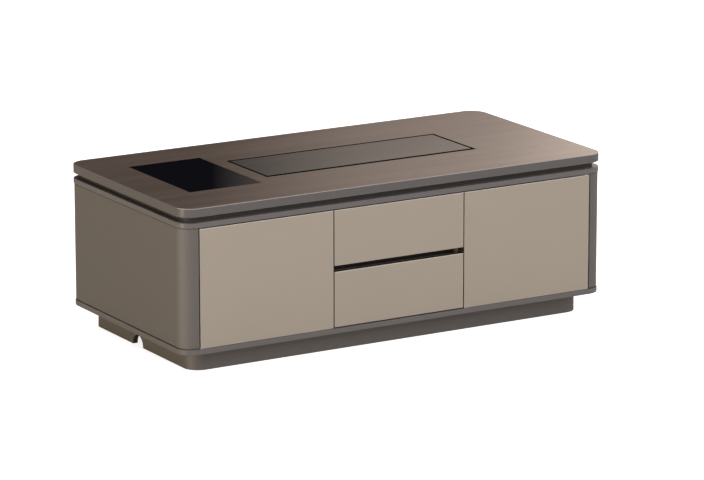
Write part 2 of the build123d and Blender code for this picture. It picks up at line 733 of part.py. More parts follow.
def fan_frame():
    """Square frame of the fan, with two bars that carry the fixed pin."""
    x, y = fan_place()
    z0 = Z_HOUSING + HOUSING_WALL
    z1 = z0 + FAN_T
    half = FAN_SIZE / 2
    throat_r = FAN_R + FAN_TIP_CLEAR
    solid = block(x - half, x + half, y - half, y + half, z0, z1)
    solid -= disc(x, y, z0 - OVERCUT, z1 + OVERCUT, throat_r)
    bar_l = 2 * throat_r + OVERCUT
    for turn in (0, 90):
        bar = Box(bar_l, FAN_BAR_W, FAN_BAR_T)
        solid += Pos(x, y, z0 + FAN_BAR_T / 2) * Rot(0, 0, turn) * bar
    return solid + disc(x, y, z0, z1 - FAN_PIN_SHORT, FAN_PIN_R)


def fan_rotor():
    """Hub with pitched blades, bored to turn on the pin."""
    x, y = fan_place()
    z0 = Z_HOUSING + HOUSING_WALL
    low = z0 + FAN_BAR_T + FAN_END_GAP
    high = z0 + FAN_T - FAN_END_GAP
    half_turn = 180 / FAN_BLADES
    solid = Pos(x, y) * Rot(0, 0, half_turn) * prism(0, 0, low, high, FAN_HUB_R, FAN_BLADES)
    tip = math.sqrt(FAN_R**2 - (BLADE_CHORD / 2) ** 2)
    blade_l = tip - FAN_HUB_R + BLADE_ROOT
    out = FAN_HUB_R - BLADE_ROOT + blade_l / 2
    blade = Pos(out, 0, 0) * Rot(BLADE_PITCH, 0, 0) * Box(blade_l, BLADE_CHORD, BLADE_T)
    for n in range(FAN_BLADES):
        solid += Pos(x, y, (low + high) / 2) * Rot(0, 0, 2 * n * half_turn) * blade
    return solid - disc(x, y, low - OVERCUT, high - FAN_CAP_T, FAN_PIN_R + FAN_PIN_CLEAR)


def hob_electronics():
    """Circuit board on four posts with its finned heat sink, under the back coil."""
    x, y = coil_places()[1]
    z_floor = Z_HOUSING + HOUSING_WALL
    z_card = z_floor + POST_H
    z_sink = z_card + CARD_T
    y_mid = y + CARD_SHIFT
    half_w = CARD_W / 2
    half_d = CARD_D / 2
    card = block(x - half_w, x + half_w, y_mid - half_d, y_mid + half_d, z_card, z_sink)
    for dx in (POST_IN - half_w, half_w - POST_IN - POST_W):
        for dy in (POST_IN - half_d, half_d - POST_IN - POST_W):
            x0 = x + dx
            y0 = y_mid + dy
            card += block(x0, x0 + POST_W, y0, y0 + POST_W, z_floor, z_card)
    write("hob_circuit_board", card)

    y0 = y + SINK_SHIFT - SINK_D / 2
    y1 = y0 + SINK_D
    x_left = x - SINK_W / 2
    sink = block(x_left, x_left + SINK_W, y0, y1, z_sink, z_sink + SINK_BASE_T)
    pitch = (SINK_W - FIN_T) / (FINS - 1)
    for n in range(FINS):
        x0 = x_left + n * pitch
        sink += block(x0, x0 + FIN_T, y0, y1, z_sink + SINK_BASE_T, z_sink + SINK_H)
    write("hob_heat_sink", sink)


def hob_clamps():
    """Angle clamps on the housing's ends that hold the hob down, under the carcass top."""
    y_wall = HOUSING_D / 2
    half = CLAMP_W / 2
    foot = block(-half, half, y_wall, y_wall + CLAMP_REACH, Z_BODY - CLAMP_T, Z_BODY)
    leg = block(-half, half, y_wall, y_wall + HOUSING_WALL, Z_HOUSING + CLAMP_UP, Z_BODY)
    clamp = foot + leg
    other = mirror(clamp, about=Plane.XZ)
    write("hob_clamps", [Pos(HOB_X, HOB_Y, 0) * clamp, Pos(HOB_X, HOB_Y, 0) * other])


def hob():
    """Built-in hob: glass flush with the top, and all that hangs under it."""
    glass = board(HOB_W, HOB_D, GLASS_R, Z_GLASS_LOW, HEIGHT, HOB_X, HOB_Y)
    glass = chamfer(glass.faces().sort_by(Axis.Z)[-1].edges(), GLASS_EDGE)
    write("hob_glass", glass)
    hob_housing()
    hob_gland()
    hob_coils()
    write("hob_fan_frame", fan_frame())
    write("hob_fan_rotor", fan_rotor())
    hob_electronics()
    hob_clamps()


# ================================================================ tea tray
def tray_well(grow, z0, z1):
    """The well round the slab: grooves on all sides, the front one run past the right end."""
    main = block(PAN_LEFT - grow, PAN_RIGHT + grow, PAN_FRONT - grow, PAN_BACK + grow, z0, z1)
    ear_x = TRAY_RIGHT + GROOVE_EAR
    ear = block(DRAIN_X, ear_x + grow, PAN_FRONT - grow, TRAY_FRONT + grow, z0, z1)
    return main + ear


def pan_floor(x):
    """Height of the pan's floor at x."""
    share = (x - PAN_LEFT) / (PAN_RIGHT - PAN_LEFT)
    return Z_UNDER - PAN_DEPTH - PAN_FALL * share


def above_floor(drop):
    """Everything above the sloping floor line lowered by drop."""
    x0 = PAN_LEFT - 2 * PAN_FLANGE
    x1 = PAN_RIGHT + 2 * PAN_FLANGE
    outline = Polyline(
        (x0, pan_floor(x0) - drop),
        (x1, pan_floor(x1) - drop),
        (x1, HEIGHT),
        (x0, HEIGHT),
        close=True,
    )
    return extrude_y(make_face(outline), PAN_FRONT - 2 * PAN_FLANGE, PAN_BACK + 2 * PAN_FLANGE)


def drain_pan():
    """Sheet pan hung by its flange under the tabletop, its floor falling to a flat sump."""
    shell = tray_well(PAN_T, Z_BODY, Z_UNDER) & above_floor(PAN_T)
    solid = shell + tray_well(PAN_FLANGE, Z_UNDER - PAN_T, Z_UNDER)
    z_sump = sump_floor()
    z_cut = Z_UNDER + OVERCUT
    solid += disc(DRAIN_X, DRAIN_Y, z_sump - PAN_T, z_sump + SUMP_DROP, SUMP_R + PAN_T)
    solid -= tray_well(0.0, Z_BODY, z_cut) & above_floor(0.0)
    solid -= disc(DRAIN_X, DRAIN_Y, z_sump, z_cut, SUMP_R)
    solid -= disc(DRAIN_X, DRAIN_Y, z_sump - PAN_T - OVERCUT, z_cut, THREAD_R + SPIGOT_FIT)
    write("drain_pan", solid)


def sump_floor():
    """Height of the sump's flat floor."""
    return pan_floor(DRAIN_X) - SUMP_DROP


def drain_fitting():
    """Flanged spigot in the sump, its nut under the pan and the strainer on top."""
    z_sump = sump_floor()
    z_end = Z_BODY - SPIGOT_OUT
    z_flange = z_sump + SPIGOT_FLANGE_T
    z_thread = Z_BODY + SPIGOT_SHOULDER
    spigot = disc(DRAIN_X, DRAIN_Y, z_end, z_thread, SPIGOT_R)
    spigot += disc(DRAIN_X, DRAIN_Y, z_thread, z_sump, THREAD_R)
    spigot += prism(DRAIN_X, DRAIN_Y, z_sump, z_flange, SPIGOT_FLANGE_R, OCTAGON)
    spigot -= disc(DRAIN_X, DRAIN_Y, z_end - OVERCUT, z_flange + OVERCUT, SPIGOT_BORE_R)
    write("drain_spigot", spigot)

    z_nut = z_sump - PAN_T - NUT_T
    nut = prism(DRAIN_X, DRAIN_Y, z_nut, z_nut + NUT_T, NUT_R, HEX)
    nut -= disc(DRAIN_X, DRAIN_Y, z_nut - OVERCUT, z_sump, THREAD_R + SPIGOT_FIT)
    write("drain_nut", nut)

    z_top = z_flange + STRAINER_T
    strainer = disc(DRAIN_X, DRAIN_Y, z_flange, z_top, STRAINER_R)
    x0 = DRAIN_X - STRAINER_SLOT_L / 2
    x1 = DRAIN_X + STRAINER_SLOT_L / 2
    for row in range(-STRAINER_ROWS, STRAINER_ROWS + 1):
        y0 = DRAIN_Y + row * STRAINER_PITCH - STRAINER_SLOT_W / 2
        y1 = y0 + STRAINER_SLOT_W
        strainer -= block(x0, x1, y0, y1, z_flange - OVERCUT, z_top + OVERCUT)
    write("drain_strainer", strainer)


def tray_feet():
    """Square rubber feet in three columns, the last one clear of the sump."""
    x_first = TRAY_LEFT + FOOT_IN
    x_last = DRAIN_X - SUMP_R - FOOT_SUMP_CLEAR - FOOT_W / 2
    pitch = (x_last - x_first) / (FEET_LONG - 1)
    half = FOOT_W / 2
    feet = []
    for n in range(FEET_LONG):
        x0 = x_first + n * pitch - half
        for y in (TRAY_FRONT + FOOT_IN, TRAY_BACK - FOOT_IN):
            feet.append(block(x0, x0 + FOOT_W, y - half, y + half, pan_floor(x0), Z_SLAB_LOW))
    return feet


def tray():
    """Slab on its feet, the pan under it and the drain."""
    slab = block(TRAY_LEFT, TRAY_RIGHT, TRAY_FRONT, TRAY_BACK, Z_SLAB_LOW, HEIGHT)
    slab = chamfer(slab.faces().sort_by(Axis.Z)[-1].edges(), TRAY_EDGE)
    write("tea_tray_slab", slab)
    write("tray_feet", tray_feet())
    drain_pan()
    drain_fitting()


def main():
    """Write every node."""
    os.makedirs("parts", exist_ok=True)
    plinth()
    bottom_board()
    cable_grommet()
    side_shells()
    back_panel()
    partitions()
    carcass_top()
    spacer_rails()
    tabletop()
    doors()
    drawers()
    finger_channel()
    hob()
    tray()


main()
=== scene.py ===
"""Looks of the gongfu tea table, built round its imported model.

Metres. +X runs to the right along the table, +Y to the back and +Z up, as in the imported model.
"""

import logging
import math
from abc import ABC, abstractmethod
from collections.abc import Callable, Iterator, Sequence
from contextlib import contextmanager
from dataclasses import dataclass, field
from enum import Enum
from typing import ClassVar

import bmesh
import bpy
from mathutils import Matrix, Vector


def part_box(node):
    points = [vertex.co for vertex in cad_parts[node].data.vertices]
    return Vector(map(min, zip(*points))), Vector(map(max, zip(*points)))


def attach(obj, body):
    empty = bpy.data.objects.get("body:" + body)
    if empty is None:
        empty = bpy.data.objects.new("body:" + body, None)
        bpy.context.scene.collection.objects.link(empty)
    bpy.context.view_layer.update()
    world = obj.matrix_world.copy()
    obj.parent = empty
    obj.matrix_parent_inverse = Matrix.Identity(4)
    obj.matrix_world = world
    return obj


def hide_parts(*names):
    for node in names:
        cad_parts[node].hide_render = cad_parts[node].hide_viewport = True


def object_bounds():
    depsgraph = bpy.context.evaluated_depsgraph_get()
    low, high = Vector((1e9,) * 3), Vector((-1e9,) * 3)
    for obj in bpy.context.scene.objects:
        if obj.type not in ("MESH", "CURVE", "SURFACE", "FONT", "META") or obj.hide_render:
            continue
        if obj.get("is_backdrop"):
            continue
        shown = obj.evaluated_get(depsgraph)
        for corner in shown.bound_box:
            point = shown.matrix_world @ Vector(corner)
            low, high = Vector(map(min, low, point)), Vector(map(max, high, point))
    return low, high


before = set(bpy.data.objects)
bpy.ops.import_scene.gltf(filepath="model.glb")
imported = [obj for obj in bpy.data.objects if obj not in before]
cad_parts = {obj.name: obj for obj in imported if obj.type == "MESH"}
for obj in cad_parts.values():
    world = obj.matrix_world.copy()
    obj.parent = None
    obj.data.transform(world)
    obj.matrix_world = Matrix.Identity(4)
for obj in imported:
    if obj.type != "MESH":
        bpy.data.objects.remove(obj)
CAD_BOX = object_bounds()

LOG = logging.getLogger("tea_table")

MM = 0.001
SOFT = 0.1 * MM  # half the width over which a printed or layered edge fades
NEAR = 0.01 * MM  # how near a point lies to the level that it is on
UPWARD = 0.5  # a face looks up where its normal's Z is above this
WHITE = (1.0, 1.0, 1.0, 1.0)
LEFT, RIGHT, BACK, DOWN, UP = (-1, 0, 0), (1, 0, 0), (0, 1, 0), (0, 0, -1), (0, 0, 1)

Colour = tuple[float, float, float, float]
Point = tuple[float, float, float]
Piece = bpy.types.Object
Socket = bpy.types.NodeSocket
Sockets = bpy.types.bpy_prop_collection
Feed = Socket | float | Sequence[float] | None
Test = Callable[[Vector, Vector], bool]


class Body(Enum):
    """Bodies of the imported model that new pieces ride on."""

    ROOT = "root"
    DOOR_LEFT = "door_left"
    DOOR_RIGHT = "door_right"
    UPPER_DRAWER = "upper_drawer"
    LOWER_DRAWER = "lower_drawer"
    TEA_TRAY = "tea_tray"


class Slot(Enum):
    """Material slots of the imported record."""

    WOOD_TOP = "wood_grain_top"
    EDGE = "edge_grey"
    SLAB = "tray_board"
    STEEL = "steel"
    COPPER = "copper_coil"


class Run(Enum):
    """Which way a drawn or grained surface runs, as the share of the pattern's scale on each axis."""

    ALONG_X = (0.05, 1.0, 1.0)
    ALONG_Y = (1.0, 0.05, 1.0)
    EVEN = (1.0, 1.0, 1.0)


def tone(code: str) -> Colour:
    """Turns a display colour into a linear one.

    Args:
        code: Six hex digits.

    Returns:
        Red, green, blue and an alpha of 1.
    """

    def linear(pair: str) -> float:
        """Linear value of two hex digits."""
        value = int(pair, 16) / 255
        return value / 12.92 if value <= 0.04045 else ((value + 0.055) / 1.055) ** 2.4

    return (linear(code[0:2]), linear(code[2:4]), linear(code[4:6]), 1.0)


# ================================================================ node building
class Net:
    """Short calls for building one node tree."""

    def __init__(self, tree: bpy.types.NodeTree) -> None:
        """Takes the tree to build in."""
        self.tree = tree

    @classmethod
    def of(cls, owner: bpy.types.Material | bpy.types.World) -> "Net":
        """Emptied tree of a material or of the world."""
        owner.use_nodes = True
        owner.node_tree.nodes.clear()
        return cls(owner.node_tree)

    def feed(self, socket: Socket, value: Feed) -> None:
        """Links a socket into another, or sets its value; None leaves it as it is."""
        if isinstance(value, Socket):
            self.tree.links.new(value, socket)
        elif value is not None:
            socket.default_value = value

    def add(self, kind: str, *values: Feed, **settings: object) -> bpy.types.Node:
        """Adds a node.

        Args:
            kind: The node's type, without its ShaderNode prefix.
            values: What goes into its first inputs, in order.
            settings: Its own properties.

        Returns:
            The node.
        """
        node = self.tree.nodes.new(kind if kind.startswith("Node") else "ShaderNode" + kind)
        for name, value in settings.items():
            setattr(node, name, value)
        for socket, value in zip(node.inputs, values):
            self.feed(socket, value)
        return node

    def math(self, operation: str, *values: Feed) -> Socket:
        """Result of an operation on one or two numbers."""
        return self.add("Math", *values, operation=operation).outputs[0]

    def times(self, first: Feed, *others: Feed) -> Feed:
        """Product of numbers."""
        for other in others:
            first = self.math("MULTIPLY", first, other)
        return first

    def plus(self, first: Feed, second: Feed) -> Socket:
        """Sum of two numbers."""
        return self.math("ADD", first, second)

    def minus(self, first: Feed, second: Feed) -> Socket:
        """Difference of two numbers."""
        return self.math("SUBTRACT", first, second)

    def vector(self, operation: str, *values: Feed) -> Socket:
        """Vector result of a sum on one or two vectors."""
        return self.add("VectorMath", *values, operation=operation).outputs[0]

    def measure(self, operation: str, *values: Feed) -> Socket:
        """Number that a vector operation gives, such as a length or a dot product."""
        return self.add("VectorMath", *values, operation=operation).outputs["Value"]

    def off(self, source: Sockets) -> Socket:
        """How far the place is from a centre on each axis, without sign."""
        return self.vector("ABSOLUTE", self.vector("SUBTRACT", source["Place"], source["Centre"]))

    def noise(self, place: Feed, scale: float, detail: float = 3.0, roughness: float = 0.5) -> Socket:
        """Cloudy value from 0 to 1, about even round 0.5."""
        node = self.add("TexNoise", place)
        node.inputs["Scale"].default_value = scale
        node.inputs["Detail"].default_value = detail
        node.inputs["Roughness"].default_value = roughness
        return node.outputs[0]

    def span(self, value: Feed, low: float, high: float, to_low: Feed = 0.0, to_high: Feed = 1.0) -> Socket:
        """Smooth step of a value from one range to another."""
        return self.add("MapRange", value, low, high, to_low, to_high, interpolation_type="SMOOTHSTEP").outputs[0]

    def reach(self, value: Feed) -> Socket:
        """1 where a length is above 0, softened over a fifth of a millimetre."""
        return self.span(value, -SOFT, SOFT)

    def mix(self, share: Feed, first: Feed, second: Feed, blend: str = "MIX") -> Socket:
        """Mixes two colours by a share of the second."""
        node = self.add("Mix", data_type="RGBA", blend_type=blend)
        for index, value in ((0, share), (6, first), (7, second)):
            self.feed(node.inputs[index], value)
        return node.outputs[2]

    def dim(self, colour: Feed, gain: Feed) -> Socket:
        """A colour times a number."""
        return self.mix(1.0, colour, self.join(gain, gain, gain), "MULTIPLY")

    def split(self, value: Feed) -> Sequence[Socket]:
        """The three numbers of a vector."""
        return self.add("SeparateXYZ", value).outputs

    def join(self, x: Feed, y: Feed, z: Feed) -> Socket:
        """A vector of three numbers."""
        return self.add("CombineXYZ", x, y, z).outputs[0]

    def bump(self, height: Feed, depth: float) -> Socket:
        """Normal of a surface raised by height times depth, in metres."""
        node = self.add("Bump")
        self.feed(node.inputs["Height"], height)
        self.feed(node.inputs["Distance"], depth)
        return node.outputs[0]

    def place(self) -> Socket:
        """Object coordinates."""
        return self.add("TexCoord").outputs["Object"]


class Effect(ABC):
    """A node group that several finishes share."""

    TAKES: ClassVar[dict[str, str]]
    GIVES: ClassVar[dict[str, str]]

    @classmethod
    @abstractmethod
    def draw(cls, net: Net, source: Sockets) -> dict[str, Feed]:
        """Builds the nodes.

        Args:
            net: The group's tree.
            source: The group's inputs, by name.

        Returns:
            What feeds each output, by name.
        """

    @classmethod
    def tree(cls) -> bpy.types.NodeTree:
        """The group's tree, built on its first use."""
        name = "effect_" + cls.__name__
        made = bpy.data.node_groups.get(name)
        if made is None:
            made = bpy.data.node_groups.new(name, "ShaderNodeTree")
            for way, sockets in (("INPUT", cls.TAKES), ("OUTPUT", cls.GIVES)):
                for socket, kind in sockets.items():
                    made.interface.new_socket(name=socket, in_out=way, socket_type="NodeSocket" + kind)
            net = Net(made)
            given = cls.draw(net, net.add("NodeGroupInput").outputs)
            target = net.add("NodeGroupOutput").inputs
            for socket, value in given.items():
                net.feed(target[socket], value)
        return made

    @classmethod
    def use(cls, net: Net, **values: Feed) -> Sockets:
        """Places the group in a material.

        Args:
            net: The material's tree.
            values: What goes into the group's inputs, by name.

        Returns:
            The group's outputs.
        """
        node = net.add("Group", node_tree=cls.tree())
        for socket, value in values.items():
            net.feed(node.inputs[socket], value)
        return node.outputs


class WoodFigure(Effect):
    """Straight wood grain along X: slow bands, fine streaks and short open pores."""

    TAKES = {"Place": "Vector", "Dark": "Color", "Middle": "Color", "Light": "Color", "Pores": "Float"}
    GIVES = {"Colour": "Color", "Height": "Float", "Gloss": "Float"}
    DRIFT = (1.5, 4.0, 4.0)
    SWAY = 0.05
    BANDS = (1.1, 26.0, 26.0)
    STREAKS = (3.5, 130.0, 130.0)
    FIBRE = (22.0, 900.0, 900.0)
    STREAK_SHARE = 0.45
    STREAK_RELIEF = 0.4
    TO_MIDDLE = (0.34, 0.52)
    TO_LIGHT = (0.48, 0.68)
    PORE_FIBRE = (0.60, 0.68)
    PORE_STREAK = (0.42, 0.60)

    @classmethod
    def draw(cls, net: Net, source: Sockets) -> dict[str, Feed]:
        """Builds the figure from four stretched noises."""

        def stretched(at: Feed, scales: Point, detail: float = 2.0, roughness: float = 0.5) -> Socket:
            """Noise with its own scale on each axis."""
            return net.noise(net.vector("MULTIPLY", at, scales), 1.0, detail, roughness)

        place = source["Place"]
        drift = stretched(place, cls.DRIFT)
        bent = net.vector("ADD", place, net.join(0.0, net.times(drift, cls.SWAY), 0.0))
        bands = stretched(bent, cls.BANDS)
        streaks = stretched(bent, cls.STREAKS, 3.0, 0.6)
        fibre = stretched(bent, cls.FIBRE)
        figure = net.plus(net.times(bands, 1.0 - cls.STREAK_SHARE), net.times(streaks, cls.STREAK_SHARE))
        dark = net.mix(net.span(figure, *cls.TO_MIDDLE), source["Dark"], source["Middle"])
        light = net.mix(net.span(figure, *cls.TO_LIGHT), dark, source["Light"])
        pore = net.times(net.span(fibre, *cls.PORE_FIBRE), net.span(streaks, *cls.PORE_STREAK))
        colour = net.mix(net.times(pore, source["Pores"]), light, source["Dark"], "MULTIPLY")
        height = net.minus(net.times(streaks, cls.STREAK_RELIEF), pore)
        return {"Colour": colour, "Height": height, "Gloss": fibre}


class LacquerFilm(Effect):
    """Sprayed satin film: a slow drift of colour, fine speckle and orange peel."""

    TAKES = {"Place": "Vector", "Tone": "Color", "Drift": "Float"}
    GIVES = {"Colour": "Color", "Height": "Float", "Gloss": "Float"}
    CLOUD, SPECKLE, PEEL = 2.6, 1400.0, 260.0
    SPECKLE_SHARE = 0.35

    @classmethod
    def draw(cls, net: Net, source: Sockets) -> dict[str, Feed]:
        """Builds the film from three noises."""
        cloud = net.noise(source["Place"], cls.CLOUD, 2.0)
        speckle = net.noise(source["Place"], cls.SPECKLE, 1.0)
        peel = net.noise(source["Place"], cls.PEEL, 2.0, 0.4)
        middle = 0.5 * (1.0 + cls.SPECKLE_SHARE)
        sway = net.minus(net.plus(cloud, net.times(speckle, cls.SPECKLE_SHARE)), middle)
        gain = net.plus(net.times(sway, source["Drift"]), 1.0)
        return {"Colour": net.dim(source["Tone"], gain), "Height": peel, "Gloss": cloud}


class EdgeRubAndHighlight(Effect):
    """Mask of the edges of a board with rounded plan corners, where the finish is thinnest; its paler tone is
    partly edge wear, partly painted highlight.
    """

    TAKES = {"Place": "Vector", "Centre": "Vector", "Half": "Vector", "Corner": "Float", "Width": "Float"}
    GIVES = {"Mask": "Float"}
    PATCHES = 90.0
    LEFT_OVER = (0.30, 0.62, 0.35, 1.0)

    @classmethod
    def draw(cls, net: Net, source: Sockets) -> dict[str, Feed]:
        """Measures how near the outline and the upper and lower faces are, and joins the two."""
        past = net.split(net.vector("SUBTRACT", net.off(source), source["Half"]))

        def near(distance: Feed) -> Socket:
            """1 on a face, falling to 0 at the rub's width from it."""
            share = net.math("DIVIDE", net.math("ABSOLUTE", distance), source["Width"])
            return net.span(share, 0.0, 1.0, 1.0, 0.0)

        over_x, over_y = (net.plus(value, source["Corner"]) for value in past[:2])
        round_x, round_y = (net.math("MAXIMUM", value, 0.0) for value in (over_x, over_y))
        reach = net.measure("LENGTH", net.join(round_x, round_y, 0.0))
        inside = net.math("MINIMUM", net.math("MAXIMUM", over_x, over_y), 0.0)
        outline = near(net.minus(net.plus(reach, inside), source["Corner"]))
        level = net.times(outline, near(past[2]))
        upright = net.times(near(past[0]), near(past[1]))
        wear = net.span(net.noise(source["Place"], cls.PATCHES), *cls.LEFT_OVER)
        return {"Mask": net.times(net.math("MAXIMUM", level, upright), wear)}


class BoardLayer(Effect):
    """Mask of what lies between two depths in a board, such as its core seen on its edges."""

    TAKES = {"Place": "Vector", "Across": "Vector", "Start": "Float", "Stop": "Float"}
    GIVES = {"Mask": "Float"}

    @classmethod
    def draw(cls, net: Net, source: Sockets) -> dict[str, Feed]:
        """Measures the depth along the direction across the board."""
        depth = net.measure("DOT_PRODUCT", source["Place"], source["Across"])
        after = net.reach(net.minus(depth, source["Start"]))
        before = net.reach(net.minus(source["Stop"], depth))
        return {"Mask": net.times(after, before)}


class DrawnMetal(Effect):
    """Rolled or brushed metal: fine lines along the draw, with soft smears."""

    TAKES = {"Place": "Vector", "Run": "Vector", "Tone": "Color", "Depth": "Float"}
    GIVES = {"Colour": "Color", "Height": "Float", "Gloss": "Float"}
    LINES, SMEAR = 1800.0, 34.0

    @classmethod
    def draw(cls, net: Net, source: Sockets) -> dict[str, Feed]:
        """Builds the lines from stretched noises."""
        place = net.vector("MULTIPLY", source["Place"], source["Run"])
        lines = net.noise(place, cls.LINES, roughness=0.7)
        smear = net.noise(source["Place"], cls.SMEAR)
        both = net.plus(lines, smear)
        gain = net.plus(net.times(net.minus(both, 1.0), source["Depth"]), 1.0)
        return {"Colour": net.dim(source["Tone"], gain), "Height": lines, "Gloss": net.times(both, 0.5)}


class PrintedRing(Effect):
    """Mask of a thin ring printed on a flat surface, or of a full spot where its line is twice its radius."""

    TAKES = {"Place": "Vector", "Centre": "Vector", "Squash": "Vector", "Radius": "Float", "Line": "Float"}
    GIVES = {"Mask": "Float"}

    @classmethod
    def draw(cls, net: Net, source: Sockets) -> dict[str, Feed]:
        """Measures how far the surface is from the ring's middle line."""
        reach = net.measure("LENGTH", net.vector("MULTIPLY", net.off(source), source["Squash"]))
        away = net.math("ABSOLUTE", net.minus(reach, source["Radius"]))
        return {"Mask": net.reach(net.minus(net.times(source["Line"], 0.5), away))}


class PrintedBar(Effect):
    """Mask of a short bar printed on a flat surface."""

    TAKES = {"Place": "Vector", "Centre": "Vector", "Half": "Vector"}
    GIVES = {"Mask": "Float"}

    @classmethod
    def draw(cls, net: Net, source: Sockets) -> dict[str, Feed]:
        """Measures how far the surface is inside the bar."""
        spare = net.split(net.vector("SUBTRACT", source["Half"], net.off(source)))
        return {"Mask": net.reach(net.math("MINIMUM", spare[0], spare[1]))}


# ================================================================ finishes
@dataclass(frozen=True)
class Finish(ABC):
    """A finish with a name and the shader's constants."""

    SWING: ClassVar[tuple[float, float]] = (0.25, 0.75)
    name: str
    gloss: tuple[float, float] = (0.45, 0.55)
    specular: float = 0.35

    def shader(self, net: Net, colour: Feed, sheen: Feed, normal: Feed, metal: float = 0.0) -> bpy.types.Node:
        """Adds the shader and the material's output.

        Args:
            net: The material's tree.
            colour: Base colour.
            sheen: Mask from 0 to 1 that sways the roughness between the finish's two values.
            normal: Normal, or None.
            metal: 1 for bare metal.

        Returns:
            The shader node.
        """
        node = net.add("BsdfPrincipled")
        net.feed(node.inputs["Base Color"], colour)
        net.feed(node.inputs["Roughness"], net.span(sheen, *self.SWING, *self.gloss))
        net.feed(node.inputs["Normal"], normal)
        node.inputs["Metallic"].default_value = metal
        node.inputs["Specular IOR Level"].default_value = self.specular
        net.add("OutputMaterial", node.outputs[0])
        return node

    def material(self, node: str = "") -> bpy.types.Material:
        """The finish's material, fitted to one CAD node where the finish depends on its box.

        Args:
            node: Name of the CAD node, or nothing for the common material.

        Returns:
            The material, built on its first use.
        """
        name = "_".join(filter(None, (self.name, node)))
        made = bpy.data.materials.get(name)
        if made is None:
            made = bpy.data.materials.new(name)
            self.fill(Net.of(made), node)
        return made

    @abstractmethod
    def fill(self, net: Net, node: str) -> None:
        """Builds the material's nodes.

        Args:
            net: The material's tree.
            node: Name of the CAD node that it is fitted to, or nothing.
        """


@dataclass(frozen=True)
class Layer:
    """Part of a board in another tone, between two depths from its lowest face along one axis."""

    shade: str
    across: Sequence[float]
    start: float
    stop: float
    within: "Layer | None" = None

    def mask(self, net: Net, node: str) -> Feed:
        """Mask of the layer, cut down to what it shares with the layer that it is within."""
        face = min(corner.dot(Vector(self.across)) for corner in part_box(node))
        start, stop = face + self.start, face + self.stop
        mask = BoardLayer.use(net, Place=net.place(), Across=self.across, Start=start, Stop=stop)["Mask"]
        return net.times(mask, self.within.mask(net, node)) if self.within else mask


@dataclass(frozen=True)
class Coated(Finish):
    """A finish that wears along a board's edges in a paler tone that is partly painted highlight; layers of the
    board, real cores and painted highlight and shade, show in other tones.
    """

    rub_and_highlight_tone: str = "a0a0a0"
    corner: float = 0.0
    wear: float = 0.35
    rub_width: float = 1.5 * MM
    layers: tuple[Layer, ...] = ()

    def lay(self, net: Net, node: str, colour: Feed) -> Feed:
        """Lays the rub (edge wear and painted highlight) and the layers over a colour, where the finish is fitted
        to a CAD node.
        """
        if not node:
            return colour
        low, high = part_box(node)
        middle, half = (low + high) / 2, (high - low) / 2
        rub_and_highlight_mask = EdgeRubAndHighlight.use(
            net, Place=net.place(), Centre=middle, Half=half, Corner=self.corner, Width=self.rub_width
        )["Mask"]
        colour = net.mix(net.times(rub_and_highlight_mask, self.wear), colour, tone(self.rub_and_highlight_tone))
        for layer in self.layers:
            colour = net.mix(layer.mask(net, node), colour, tone(layer.shade))
        return colour


@dataclass(frozen=True)
class WoodGrain(Coated):
    """Grained board under a satin film."""

    wear: float = 0.4
    rub_width: float = 1.2 * MM
    dark: str = "4a3d35"
    middle: str = "64554a"
    light: str = "7a6a5d"
    pores: float = 0.5
    relief: float = 0.03

    def fill(self, net: Net, node: str) -> None:
        """Grain with its pores as bump."""
        figure = WoodFigure.use(
            net,
            Place=net.place(),
            Dark=tone(self.dark),
            Middle=tone(self.middle),
            Light=tone(self.light),
            Pores=self.pores,
        )
        colour = self.lay(net, node, figure["Colour"])
        self.shader(net, colour, figure["Gloss"], net.bump(figure["Height"], self.relief * MM))


@dataclass(frozen=True)
class Lacquer(Coated):
    """Sprayed satin lacquer."""

    shade: str = "808080"
    drift: float = 0.10
    peel: float = 0.02

    def fill(self, net: Net, node: str) -> None:
        """Film with its peel as bump."""
        film = LacquerFilm.use(net, Place=net.place(), Tone=tone(self.shade), Drift=self.drift)
        colour = self.lay(net, node, film["Colour"])
        self.shader(net, colour, film["Gloss"], net.bump(film["Height"], self.peel * MM))


@dataclass(frozen=True)
class Metal(Finish):
    """Bare or plated metal with the marks of its draw."""

    shade: str = "b4b4b6"
    run: Run = Run.EVEN
    depth: float = 0.25
    metallic: float = 1.0
    relief: float = 0.01 * MM

    def fill(self, net: Net, node: str) -> None:
        """Draw lines in colour, roughness and bump."""
        shade = tone(self.shade)
        drawn = DrawnMetal.use(net, Place=net.place(), Run=self.run.value, Tone=shade, Depth=self.depth)
        self.shader(net, drawn["Colour"], drawn["Gloss"], net.bump(drawn["Height"], self.relief), self.metallic)


@dataclass(frozen=True)
class Winding(Finish):
    """Enamelled wire, twisted in strands round each turn."""

    shade: str = "b0672f"
    shadow: str = "4a2410"
    strands: float = 420.0
    sway: float = 0.6
    relief: float = 0.15 * MM
    metallic: float = 0.8

    def fill(self, net: Net, node: str) -> None:
        """Slanting strands from a wave across the winding."""
        wave = net.add("TexWave", net.place(), bands_direction="DIAGONAL")
        wave.inputs["Scale"].default_value = self.strands
        wave.inputs["Distortion"].default_value = self.sway
        crest = wave.outputs[1]
        colour = net.mix(crest, tone(self.shadow), tone(self.shade))
        self.shader(net, colour, crest, net.bump(crest, self.relief), self.metallic)


@dataclass(frozen=True)
class CardPrint(Finish):
    """Circuit card with its printed tracks under a green mask."""

    mask: str = "155233"
    track: str = "2b7a4f"
    pitch: float = 160.0
    gap: float = 0.06
    relief: float = 0.05 * MM

    def fill(self, net: Net, node: str) -> None:
        """Tracks from a brick pattern."""
        bricks = net.add("TexBrick", net.place(), tone(self.mask), tone(self.track), tone(self.track))
        bricks.inputs["Scale"].default_value = self.pitch
        bricks.inputs["Mortar Size"].default_value = self.gap
        gaps = bricks.outputs["Fac"]
        self.shader(net, bricks.outputs["Color"], gaps, net.bump(gaps, self.relief))


